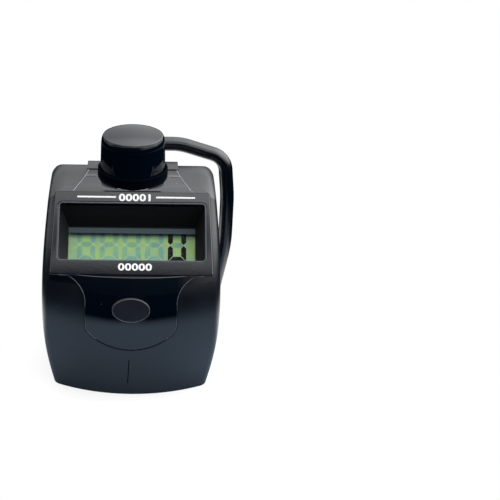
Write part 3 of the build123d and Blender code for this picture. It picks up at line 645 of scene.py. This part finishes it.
def floor():
    """A white sweep that keeps the counter's shadow.

    Away from the shadow the camera sees plain white. The glossy faces see white paper near the
    counter and a dark room beyond it, as black plastic shows in the photograph.
    """
    mesh = bpy.data.meshes.new("floor")
    shape = bmesh.new()
    bmesh.ops.create_circle(
        shape, cap_ends=True, segments=round_steps, radius=floor_radius * MILLIMETRE
    )
    shape.to_mesh(mesh)
    shape.free()
    sheet = bpy.data.objects.new("floor", mesh)
    bpy.context.scene.collection.objects.link(sheet)
    material = bpy.data.materials.new("white paper sweep")
    material.use_nodes = True
    tree = material.node_tree
    tree.nodes.clear()
    place = add_node(tree, "ShaderNodeTexCoord")
    distance = add_node(
        tree, "ShaderNodeVectorMath", {0: place.outputs["Object"]}, operation="LENGTH"
    ).outputs["Value"]
    path = add_node(tree, "ShaderNodeLightPath")
    seen = path.outputs["Is Camera Ray"]
    away = add_node(
        tree,
        "ShaderNodeVectorMath",
        {0: place.outputs["Object"], 1: metres(0, -dark_patch_distance, 0)},
        operation="DISTANCE",
    )
    near = add_node(
        tree,
        "ShaderNodeMapRange",
        {
            "Value": distance,
            "From Min": white_reach * MILLIMETRE,
            "From Max": white_end * MILLIMETRE,
            "To Min": 1.0,
            "To Max": 0.0,
        },
        interpolation_type="SMOOTHSTEP",
    )
    clear = add_node(
        tree,
        "ShaderNodeMapRange",
        {
            "Value": away.outputs["Value"],
            "From Min": dark_patch_radius * MILLIMETRE,
            "From Max": dark_patch_end * MILLIMETRE,
        },
        interpolation_type="SMOOTHSTEP",
    )
    lit = add_node(
        tree,
        "ShaderNodeMath",
        {0: near.outputs["Result"], 1: clear.outputs["Result"]},
        operation="MULTIPLY",
    )
    spread = add_node(tree, "ShaderNodeSeparateXYZ", {"Vector": place.outputs["Object"]}).outputs
    aside = add_node(tree, "ShaderNodeMath", {0: spread["X"]}, operation="ABSOLUTE")
    leaning = add_node(
        tree,
        "ShaderNodeMath",
        {0: spread["Y"], 1: side_lean, 2: aside.outputs["Value"]},
        operation="MULTIPLY_ADD",
    )
    sideways = add_node(
        tree,
        "ShaderNodeMapRange",
        {
            "Value": leaning.outputs["Value"],
            "From Min": bright_side_start * MILLIMETRE,
            "From Max": bright_side_end * MILLIMETRE,
        },
        interpolation_type="SMOOTHSTEP",
    )
    tint = add_node(
        tree,
        "ShaderNodeMix",
        {
            "Factor": sideways.outputs["Result"],
            "A": linear(floor_tint),
            "B": linear(floor_side),
        },
        data_type="RGBA",
    )
    dimmed = add_node(
        tree,
        "ShaderNodeMix",
        {
            "Factor": lit.outputs["Value"],
            "A": linear(floor_dark),
            "B": tint.outputs["Result"],
        },
        data_type="RGBA",
    )
    tone = add_node(
        tree,
        "ShaderNodeMix",
        {"Factor": seen, "A": dimmed.outputs["Result"], "B": linear(floor_seen)},
        data_type="RGBA",
    )
    paper = add_node(tree, "ShaderNodeBsdfDiffuse", {"Color": tone.outputs["Result"]})
    white = add_node(tree, "ShaderNodeEmission", {"Strength": 1.0})
    fade = add_node(
        tree,
        "ShaderNodeMapRange",
        {
            "Value": distance,
            "From Min": shadow_reach * MILLIMETRE,
            "From Max": shadow_end * MILLIMETRE,
            "To Min": 1 - shadow_share,
        },
        interpolation_type="SMOOTHSTEP",
    )
    washed = add_node(
        tree, "ShaderNodeMath", {0: fade.outputs["Result"], 1: seen}, operation="MULTIPLY"
    )
    mixed = add_node(
        tree,
        "ShaderNodeMixShader",
        {"Fac": washed.outputs["Value"], 1: paper.outputs["BSDF"], 2: white.outputs["Emission"]},
    )
    add_node(tree, "ShaderNodeOutputMaterial", {"Surface": mixed.outputs["Shader"]})
    mesh.materials.append(material)


camera()
studio_world()
floor()

# Finishes, one for each material slot of the record
finishes = {
    # ABS from a finely textured mould: a soft sheen, with the grain drawn coarse enough to show
    "satin_black_abs": moulded_plastic(
        "satin moulded ABS", "#030a14", 0.31, 0.04, 0.35, 0.004, 0.8, 0.05
    ),
    # ABS from a polished mould: sharp reflections that hardly waver, and specks of dust
    "gloss_black_abs": moulded_plastic(
        "polished ABS", "#020914", 0.05, 0.02, 0.8, 0.001, 0.8, 0.08
    ),
    # ABS from a blasted mould: almost no reflection, as inside the display's well
    "matt_black_abs": moulded_plastic(
        "matt moulded ABS", "#020508", 0.6, 0.04, 0.3, 0.006, 0.3
    ),
    # Film behind the display: an even, dull green
    "reflector_film": moulded_plastic("reflector film", "#8fae7a", 0.45, 0.02, 0.5, 0.001),
    # Flat leads: smooth amber film
    "amber_polyimide": moulded_plastic("polyimide film", "#a8651d", 0.25, 0.03, 0.6, 0.001),
    # Circuit boards: green lacquer over a fine weave
    "green_laminate": moulded_plastic(
        "solder mask on glass laminate", "#14532d", 0.35, 0.05, 0.3, 0.004
    ),
    # Chip's cover: a shiny cast drop with a slightly uneven skin
    "black_epoxy": moulded_plastic("cast epoxy", "#0c0c0d", 0.22, 0.06, 0.9, 0.01),
    # Switches: plain dark plastic with a low sheen
    "black_nylon": moulded_plastic("moulded nylon", "#111214", 0.45, 0.05, 0.4, 0.004),
    # Metals: pressed and plated ones have even streaks, and drawn wire has them along its length
    "bright_steel": metal("bright steel", "#c8c9ca", 0.25, 1.0),
    "spring_steel": metal("drawn spring wire", "#9b9c9f", 0.3, 0.2),
    "nickel_strip": metal("nickel-plated strip", "#cfc8bb", 0.22, 1.0),
    "zinc_steel": metal("zinc-plated steel", "#b9bcc2", 0.32, 1.0),
}

# Acrylic cover: all but unseen, with a faint reflection and no colour of its own
finishes["clear_acrylic"] = new_material(
    "clear acrylic",
    Base_Color=linear("#101513"),
    Roughness=0.03,
    IOR=1.49,
    Alpha=0.05,
    Specular_IOR_Level=0.3,
)[0]

# Liquid crystal display over its film: yellowish green, greyer in a painted shade near the upper
# edge
finishes["display_glass"] = display_finish(
    "liquid crystal glass", "#9fc27d", "#93b78c", "#3c584f"
)

# Nodes whose finish differs from that of their slot: the thumb button's side gathers dust, the
# reset button's pale specks are painted glints of its eroded mould, and the loop has worn to a
# dull gloss
own_finishes = {
    "count_button": moulded_plastic(
        "dusty polished ABS", "#020914", 0.05, 0.02, 0.8, 0.001, 0.3, 0.12
    ),
    # Its pale specks are painted glints
    "reset_button": moulded_plastic(
        "spark-eroded ABS", "#070c1a", 0.45, 0.08, 0.22, 0.02, 0.6, 0.25
    ),
    "finger_loop": moulded_plastic("tumbled ABS", "#010711", 0.18, 0.05, 0.5, 0.003, 0.8),
}
slots = {row["node"]: row["material_slot"] for row in frame["record"]["subparts"]}
for name, piece in frame["nodes"].items():
    piece.data.materials.clear()
    piece.data.materials.append(own_finishes.get(name, finishes[slots[name]]))

# Painted highlights on edges: greyer than the plastic, so that each outline shows as a pale line
edge_highlight = moulded_plastic(
    "painted highlight on edges of polished ABS", "#4d5359", 0.25, 0.06, 0.6, 0.002
)
pale_edge_highlight = moulded_plastic("pale painted highlight on edges", "#7b8285", 0.3, 0.05, 0.6, 0.002)

# Painted shade: a flat black with next to no reflection, for the gaps between mouldings, the
# thumb button's foot and the mould's fine line
shadow_black = moulded_plastic(
    "flat black painted shade", "#02040c", 0.7, 0.05, 0.4, 0.003, 0.02
)

# Inks: opaque and even. The white one is printed on the frame; the other two, on the display's
# cover, are painted shade along its upper edge
white_ink = moulded_plastic("white pad-printing ink", "#ffffff", 0.4, 0.03, 0.4, 0.001)
shade_band_ink = moulded_plastic(
    "grey band of painted shade", "#3a4950", 0.5, 0.03, 0.4, 0.001, 0.2
)
shade_mask_ink = moulded_plastic("black band of painted shade", "#020306", 0.5, 0.03, 0.4, 0.001, 0.1)

# Liquid crystal: black where a stroke is on, faintly blue-green where it rests, and lighter than
# the ground in the fine gaps between strokes; each greyer in the same painted shade near the
# upper edge
dark_crystal = display_finish("dark liquid crystal", "#04070f", "#060a14", "#04070f")
resting_crystal = display_finish("resting liquid crystal", "#83b18c", "#76a496", "#2b4349")
bright_crystal = display_finish(
    "bright line between two strokes", "#c4e09e", "#bcdaa6", "#5f7a68"
)

# Planes that the print and the figures lie on
frame_lean = atan2(frame_head.y - frame_foot.y, frame_head.z - frame_foot.z)
frame_turn = Matrix.Rotation(pi / 2 - frame_lean, 4, "X")
frame_place = Matrix.Translation(frame_foot * MILLIMETRE) @ frame_turn
glass_place = Matrix.Translation(glass_foot * MILLIMETRE) @ Matrix.Rotation(glass_slope, 4, "X")


def finish_piece(name, shape, material, body, place=Matrix.Identity(4)):
    """Makes a bmesh a piece that rides on a body, with its place in its mesh."""
    bmesh.ops.recalc_face_normals(shape, faces=shape.faces)
    bmesh.ops.transform(shape, matrix=place, verts=shape.verts)
    mesh = bpy.data.meshes.new(name)
    shape.to_mesh(mesh)
    shape.free()
    mesh.materials.append(material)
    piece = bpy.data.objects.new(name, mesh)
    bpy.context.scene.collection.objects.link(piece)
    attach(piece, body)
    return piece


def add_plate(shape, outline, thickness):
    """Adds a flat plate of that outline, in millimetres, standing on the XY plane."""
    corners = [shape.verts.new(metres(x, y, 0)) for x, y in outline]
    face = shape.faces.new(corners)
    grown = bmesh.ops.extrude_face_region(shape, geom=[face])
    raised = [v for v in grown["geom"] if isinstance(v, bmesh.types.BMVert)]
    bmesh.ops.translate(shape, verts=raised, vec=metres(0, 0, thickness))


def printed_lines():
    """The two white lines beside the upper numerals."""
    shape = bmesh.new()
    for start, end in (left_line, right_line):
        low = line_level - line_thickness / 2
        high = line_level + line_thickness / 2
        add_plate(shape, ((start, low), (end, low), (end, high), (start, high)), ink_thickness)
    finish_piece("printed_lines", shape, white_ink, "case", place=frame_place)


def printed_numerals(name, words, level):
    """A row of plain numerals on the frame, made as text and then a mesh."""
    curve = bpy.data.curves.new(name, "FONT")
    curve.body = words
    curve.align_x = "CENTER"
    curve.align_y = "CENTER"
    curve.size = print_height / digit_share * MILLIMETRE
    curve.space_character = print_spacing
    curve.offset = print_bold * MILLIMETRE
    curve.extrude = ink_thickness / 2 * MILLIMETRE
    writer = bpy.data.objects.new(name, curve)
    bpy.context.scene.collection.objects.link(writer)
    graph = bpy.context.evaluated_depsgraph_get()
    mesh = bpy.data.meshes.new_from_object(writer.evaluated_get(graph))
    bpy.data.objects.remove(writer)
    shape = bmesh.new()
    shape.from_mesh(mesh)
    bpy.data.meshes.remove(mesh)
    bmesh.ops.remove_doubles(shape, verts=shape.verts, dist=merge_reach)
    stretch = Matrix.Diagonal((print_stretch, 1, 1, 1))
    settle = Matrix.Translation(metres(print_shift, level, ink_thickness / 2))
    finish_piece(name, shape, white_ink, "case", place=frame_place @ settle @ stretch)


def figure_strokes(shape, x, strokes, gap=stroke_gap / 2, thickness=figure_thickness):
    """Adds the named strokes of a seven-stroke figure, mitred where they meet, centred on x."""
    half = stroke_width / 2
    side = figure_width / 2
    top = figure_height / 2
    bar = stroke_width
    inner = side - bar
    long_bar = (
        (gap - side, top),
        (side - gap, top),
        (inner - gap, top - bar),
        (gap - inner, top - bar),
    )
    middle_bar = (
        (half - side + gap, 0),
        (gap - inner, half),
        (inner - gap, half),
        (side - half - gap, 0),
        (inner - gap, -half),
        (gap - inner, -half),
    )
    upright = (
        (-side, top - gap),
        (-side, half + gap),
        (half - side, gap),
        (-inner, half + gap),
        (-inner, top - bar - gap),
    )
    outlines = {
        "top": long_bar,
        "middle": middle_bar,
        "bottom": [(a, -b) for a, b in long_bar],
        "upper_left": upright,
        "upper_right": [(-a, b) for a, b in upright],
        "lower_left": [(a, -b) for a, b in upright],
        "lower_right": [(-a, -b) for a, b in upright],
    }
    for name in strokes:
        outline = [(x + a, figure_middle_level + b) for a, b in outlines[name]]
        add_plate(shape, outline, thickness)


def display_figures():
    """Four resting eights and a dark nought, with bright lines where their strokes meet."""
    rim = ("top", "bottom", "upper_left", "upper_right", "lower_left", "lower_right")
    dark = bmesh.new()
    figure_strokes(dark, last_figure_x, rim)
    finish_piece("dark_figure", dark, dark_crystal, "case", place=glass_place)
    resting = bmesh.new()
    figure_strokes(resting, last_figure_x, ("middle",))
    for step in range(1, figure_count):
        figure_strokes(resting, last_figure_x - step * figure_pitch, rim + ("middle",))
    finish_piece("resting_figures", resting, resting_crystal, "case", place=glass_place)
    bright = bmesh.new()
    for step in range(figure_count):
        x = last_figure_x - step * figure_pitch
        figure_strokes(bright, x, rim + ("middle",), light_line_gap, light_line_thickness)
    finish_piece("bright_lines", bright, bright_crystal, "case", place=glass_place)


def display_cover():
    """The clear cover over the glass, with its rim rounded."""
    shape = bmesh.new()
    across = cover_half_width
    outline = (
        (-across, cover_foot_level),
        (across, cover_foot_level),
        (across, cover_head_level),
        (-across, cover_head_level),
    )
    add_plate(shape, outline, cover_front - cover_rear)
    bmesh.ops.bevel(
        shape,
        geom=shape.edges[:],
        offset=cover_edge_radius * MILLIMETRE,
        affect="EDGES",
        segments=cover_edge_steps,
        profile=0.5,
        material=-1,
    )
    lift = Matrix.Translation(metres(0, 0, cover_rear))
    finish = finishes["clear_acrylic"]
    place = glass_place @ lift
    cover = finish_piece("display_cover", shape, finish, "case", place)
    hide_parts("display_lens")


def display_shade_band():
    """A grey band, and a black band above it, along the upper edge of the display's cover:
    painted shade.
    """
    across = shade_band_half_width
    lift = Matrix.Translation(metres(0, 0, cover_front))
    for name, low, high, ink in (
        ("display_shade_band", shade_band_foot_level, shade_band_head_level, shade_band_ink),
        ("display_shade_mask", shade_band_head_level, shade_mask_head_level, shade_mask_ink),
    ):
        outline = ((-across, low), (across, low), (across, high), (-across, high))
        shape = bmesh.new()
        add_plate(shape, outline, ink_thickness)
        finish_piece(name, shape, ink, "case", place=glass_place @ lift)


def return_spring():
    """The coiled spring under the thumb button, made in place of the imported one."""
    low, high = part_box("count_spring")
    foot = low[2] + spring_wire * MILLIMETRE
    rise = high[2] - low[2] - 2 * spring_wire * MILLIMETRE
    middle = Vector(((low[0] + high[0]) / 2, (low[1] + high[1]) / 2, foot))
    steps = spring_turns * spring_steps
    shape = bmesh.new()
    ring = bmesh.ops.create_circle(
        shape, cap_ends=False, segments=spring_sides, radius=spring_wire * MILLIMETRE
    )["verts"]
    bmesh.ops.rotate(shape, verts=ring, cent=(0, 0, 0), matrix=Matrix.Rotation(pi / 2, 3, "X"))
    start = middle + metres(spring_radius, 0, 0)
    bmesh.ops.translate(shape, verts=ring, vec=start)
    bmesh.ops.spin(
        shape,
        geom=list(shape.edges) + list(shape.verts),
        cent=middle,
        axis=(0, 0, 1),
        dvec=(0, 0, rise / steps),
        angle=tau * spring_turns,
        steps=steps,
    )
    ends = [edge for edge in shape.edges if edge.is_boundary]
    bmesh.ops.holes_fill(shape, edges=ends, sides=0)
    for face in shape.faces:
        face.smooth = True
    wire = finishes["spring_steel"]
    spring = finish_piece("return_spring", shape, wire, "case")
    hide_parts("count_spring")
    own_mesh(spring)


def arc(centre, radius, start, end, steps):
    """Places along an arc, from one angle to the other."""
    places = []
    for step in range(steps + 1):
        angle = start + (end - start) * step / steps
        places.append((centre[0] + radius * cos(angle), centre[1] + radius * sin(angle)))
    return places


def lip(name, places, radius, body, closed, material=None):
    """A thin round edge along a row of places in metres, with a painted highlight unless said.

    Its tube is smooth, and its flat ends are sharp at their rims.
    """
    curve = bpy.data.curves.new(name, "CURVE")
    curve.dimensions = "3D"
    curve.bevel_depth = radius * MILLIMETRE
    curve.bevel_resolution = lip_sides // 2 - 2
    curve.use_fill_caps = not closed
    run = curve.splines.new("POLY")
    run.points.add(len(places) - 1)
    for point, place in zip(run.points, places):
        point.co = (*place, 1.0)
    run.use_cyclic_u = closed
    drawn = bpy.data.objects.new(name, curve)
    bpy.context.scene.collection.objects.link(drawn)
    graph = bpy.context.evaluated_depsgraph_get()
    mesh = bpy.data.meshes.new_from_object(drawn.evaluated_get(graph))
    bpy.data.objects.remove(drawn)
    shape = bmesh.new()
    shape.from_mesh(mesh)
    bpy.data.meshes.remove(mesh)
    bmesh.ops.remove_doubles(shape, verts=shape.verts, dist=merge_reach)
    for face in shape.faces:
        face.smooth = len(face.verts) == 4
    for edge in shape.edges:
        edge.smooth = all(face.smooth for face in edge.link_faces)
    finish_piece(name, shape, material or edge_highlight, body)


def window_lip():
    """The rounded edge of the display's window, with a painted highlight paler than the frame."""
    radius = window_corner_radius
    low = window_sill + radius
    high = window_head - radius
    sill = window_sill_half_width - radius
    head = window_head_half_width - radius
    corners = (
        ((sill, low), -pi / 2),
        ((head, high), 0),
        ((-head, high), pi / 2),
        ((-sill, low), pi),
    )
    places = []
    for centre, start in corners:
        places += arc(centre, radius, start, start + pi / 2, window_corner_steps)
    seats = [frame_place @ metres(x, y, -window_lip_sink) for x, y in places]
    lip("window_lip", seats, window_lip_radius, "case", True)


def tongue_outline(grow, dip):
    """The tongue's outline seen from the front, grown by a margin and its tip let down."""
    half = tongue_half_width + grow
    run = tongue_flare_half_width - tongue_half_width
    rise = tongue_top_height - tongue_waist_height
    flare = (run**2 + rise**2) / (2 * run)
    corner_height = tongue_corner_height - dip
    tip_height = tongue_tip_height - grow - dip
    corner_radius = tongue_corner_radius + grow
    drop = corner_height - tip_height
    sweep = (half**2 + drop**2) / (2 * drop)
    centre = (0, tip_height + sweep)
    reach = half - corner_radius
    corner = (-reach, centre[1] - ((sweep - corner_radius) ** 2 - reach**2) ** 0.5)
    turn = atan2(corner[1] - centre[1], corner[0]) + tau
    waist = (-half - flare, tongue_waist_height)
    left = arc(waist, flare, atan2(rise, flare - run), 0, tongue_flare_steps)
    left += arc(corner, corner_radius, pi, turn, tongue_corner_steps)
    left += arc(centre, sweep, turn, 3 * pi / 2, tongue_tip_steps)[1:]
    return left + [(-x, z) for x, z in reversed(left[:-1])]


def seats_on(node, places, towards):
    """Where rays that run towards the node from those places meet it, in metres."""
    graph = bpy.context.evaluated_depsgraph_get()
    skin = BVHTree.FromObject(frame["nodes"][node], graph)
    hits = [skin.ray_cast(place, towards)[0] for place in places]
    return [hit for hit in hits if hit is not None]


def tongue_edges():
    """The thin rounded edge down the tongue's sides with a pale painted highlight, and a black
    line of painted shade in the gap round it.
    """
    inner = [metres(x, -ray_start, z) for x, z in tongue_outline(-tongue_lip_radius, 0)]
    for hand, side in (("left", -1), ("right", 1)):
        flank = [place for place in inner if side * place.x > tongue_lip_end * MILLIMETRE]
        seats = seats_on("front_trim", flank, backwards)
        lip("tongue_lip_" + hand, seats, tongue_lip_radius, "case", False)
    outline = tongue_outline(tongue_gap_grow, tongue_gap_dip)
    outer = [metres(x, -ray_start, z) for x, z in outline]
    seats = seats_on("front_housing", outer, backwards)
    # The black line in the gap round the tongue is painted shade
    lip("tongue_gap", seats, tongue_gap_radius, "case", False, shadow_black)


def neck_half_width(y):
    """Half the neck's width that far back, on a curve through its front, middle and rear."""
    stations = (
        (neck_front_y, neck_front_half_width),
        (neck_middle_y, neck_middle_half_width),
        (neck_rear_y, neck_rear_half_width),
    )
    half_width = 0
    for station, width in stations:
        for other in (neck_front_y, neck_middle_y, neck_rear_y):
            if other != station:
                width *= (y - other) / (station - other)
        half_width += width
    return half_width


def neck_lips():
    """The edges down both sides of the neck and the ridge that runs in from each, with pale
    painted highlights.
    """
    for side, hand in ((-1, "left"), (1, "right")):
        places = []
        for step in range(neck_steps + 1):
            y = neck_rear_y + (neck_front_y - neck_rear_y) * step / neck_steps
            places.append(metres(side * (neck_half_width(y) - neck_lip_inset), y, ray_start))
        seats = seats_on("front_trim", places, downwards)
        name = "neck_lip_" + hand
        lip(name, seats, neck_lip_radius, "case", False, pale_edge_highlight)
        places = []
        for step in range(neck_steps + 1):
            x = side * (neck_ridge_inner + neck_ridge_length * step / neck_steps)
            places.append(metres(x, neck_ridge_y, ray_start))
        seats = seats_on("front_trim", places, downwards)
        level = sum(seat.z for seat in seats) / len(seats)
        ends = [Vector((seat.x, seat.y, level)) for seat in (seats[0], seats[-1])]
        name = "neck_ridge_" + hand
        lip(name, ends, neck_ridge_radius, "case", False, pale_edge_highlight)


def button_middle():
    """The middle of the thumb button's top, in metres."""
    low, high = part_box("count_button")
    return Vector(((low[0] + high[0]) / 2, (low[1] + high[1]) / 2, high[2]))


def collar_lip():
    """The edge at the front of the collar's foot, with a pale painted highlight."""
    middle = button_middle() / MILLIMETRE
    centre = (middle.x, middle.y + collar_lip_setback)
    outline = arc(centre, collar_lip_sweep, collar_lip_start, collar_lip_end, neck_steps)
    places = [metres(x, y, ray_start) for x, y in outline]
    seats = seats_on("front_trim", places, downwards)
    lip("collar_lip", seats, collar_lip_radius, "case", False, pale_edge_highlight)


def neck_crease():
    """The crease where the neck meets the display frame, drawn as a black line of painted shade.
    """
    places = []
    for step in range(neck_steps + 1):
        x = neck_crease_half_width * (2 * step / neck_steps - 1)
        places.append(metres(x, neck_crease_y, ray_start))
    seats = seats_on("front_trim", places, downwards)
    lip("neck_crease", seats, neck_crease_radius, "case", False, shadow_black)


def button_shade_ring():
    """A flat black ring that fills the neck's collar round the thumb button: painted shade at its
    foot.
    """
    middle = button_middle()
    middle.z = 0
    outline = (
        (shade_ring_inner_radius, shade_ring_foot),
        (shade_ring_outer_radius, shade_ring_foot),
        (shade_ring_outer_radius, shade_ring_head - shade_ring_bevel),
        (shade_ring_outer_radius - shade_ring_bevel, shade_ring_head),
        (shade_ring_inner_radius, shade_ring_head),
    )
    shape = bmesh.new()
    corners = [shape.verts.new(middle + metres(radius, 0, z)) for radius, z in outline]
    rim = [shape.edges.new(pair) for pair in zip(corners, corners[1:] + corners[:1])]
    bmesh.ops.spin(
        shape,
        geom=corners + rim,
        cent=middle,
        axis=(0, 0, 1),
        angle=tau,
        steps=round_steps,
        use_merge=True,
    )
    bmesh.ops.remove_doubles(shape, verts=shape.verts, dist=merge_reach)
    finish_piece("button_shade_ring", shape, shadow_black, "case")


def reset_lip():
    """The thin rim of the reset button's face, with a painted highlight."""
    inward = 1 - 2 * reset_lip_radius / reset_half_height
    places = []
    for across, up in arc((0, 0), 1, 0, tau, round_steps)[1:]:
        x = across * reset_half_width * inward
        z = reset_height + up * reset_half_height * inward
        places.append(metres(x, -ray_start, z))
    seats = seats_on("reset_button", places, backwards)
    lip("reset_lip", seats, reset_lip_radius, "reset_button", True)


def button_face():
    """The thumb button's shallow dome, spun finely so that its reflection is smooth."""
    middle = button_middle()
    shape = bmesh.new()
    reach = button_face_radius / button_dome_radius
    profile = []
    for step in range(button_face_steps + 1):
        angle = reach * step / button_face_steps
        x = button_dome_radius * sin(angle)
        z = button_dome_radius * (cos(angle) - 1) + button_face_lift
        profile.append(shape.verts.new(middle + metres(x, 0, z)))
    profile.append(shape.verts.new(profile[-1].co - metres(0, 0, 2 * button_face_lift)))
    for inner, outer in zip(profile, profile[1:]):
        shape.edges.new((inner, outer))
    bmesh.ops.spin(
        shape,
        geom=list(shape.edges) + list(shape.verts),
        cent=middle,
        axis=(0, 0, 1),
        angle=tau,
        steps=round_steps,
        use_merge=True,
    )
    bmesh.ops.remove_doubles(shape, verts=shape.verts, dist=merge_reach)
    rim = [edge for edge in shape.edges if edge.is_boundary]
    bmesh.ops.holes_fill(shape, edges=rim, sides=0)
    for face in shape.faces:
        face.smooth = len(face.verts) <= 4
    polish = finishes["gloss_black_abs"]
    finish_piece("button_face", shape, polish, "count_button")


def parting_line():
    """The faint raised line that the mould leaves low on the front, in a flat black that paints
    its shade.
    """
    shape = bmesh.new()
    runs = []
    for side, rise in ((-parting_width, 0), (0, parting_rise), (parting_width, 0)):
        places = []
        for step in range(parting_steps + 1):
            share = step / parting_steps
            height = parting_top + (parting_foot - parting_top) * share
            across = parting_x + parting_lean * share
            places.append(metres(across + side, -ray_start, height))
        seats = seats_on("front_housing", places, backwards)
        corners = [shape.verts.new(seat - metres(0, rise, 0)) for seat in seats]
        runs.append([shape.edges.new(pair) for pair in zip(corners, corners[1:])])
    for left, right in zip(runs, runs[1:]):
        bmesh.ops.bridge_loops(shape, edges=left + right)
    finish_piece("parting_line", shape, shadow_black, "case")


printed_lines()
printed_numerals("upper_numerals", "00001", print_head_level)
printed_numerals("lower_numerals", "00000", print_foot_level)
display_figures()
display_cover()
display_shade_band()
return_spring()
parting_line()
window_lip()
tongue_edges()
neck_lips()
collar_lip()
neck_crease()
button_shade_ring()
reset_lip()
button_face()

bpy.context.scene.view_settings.view_transform = "Standard"
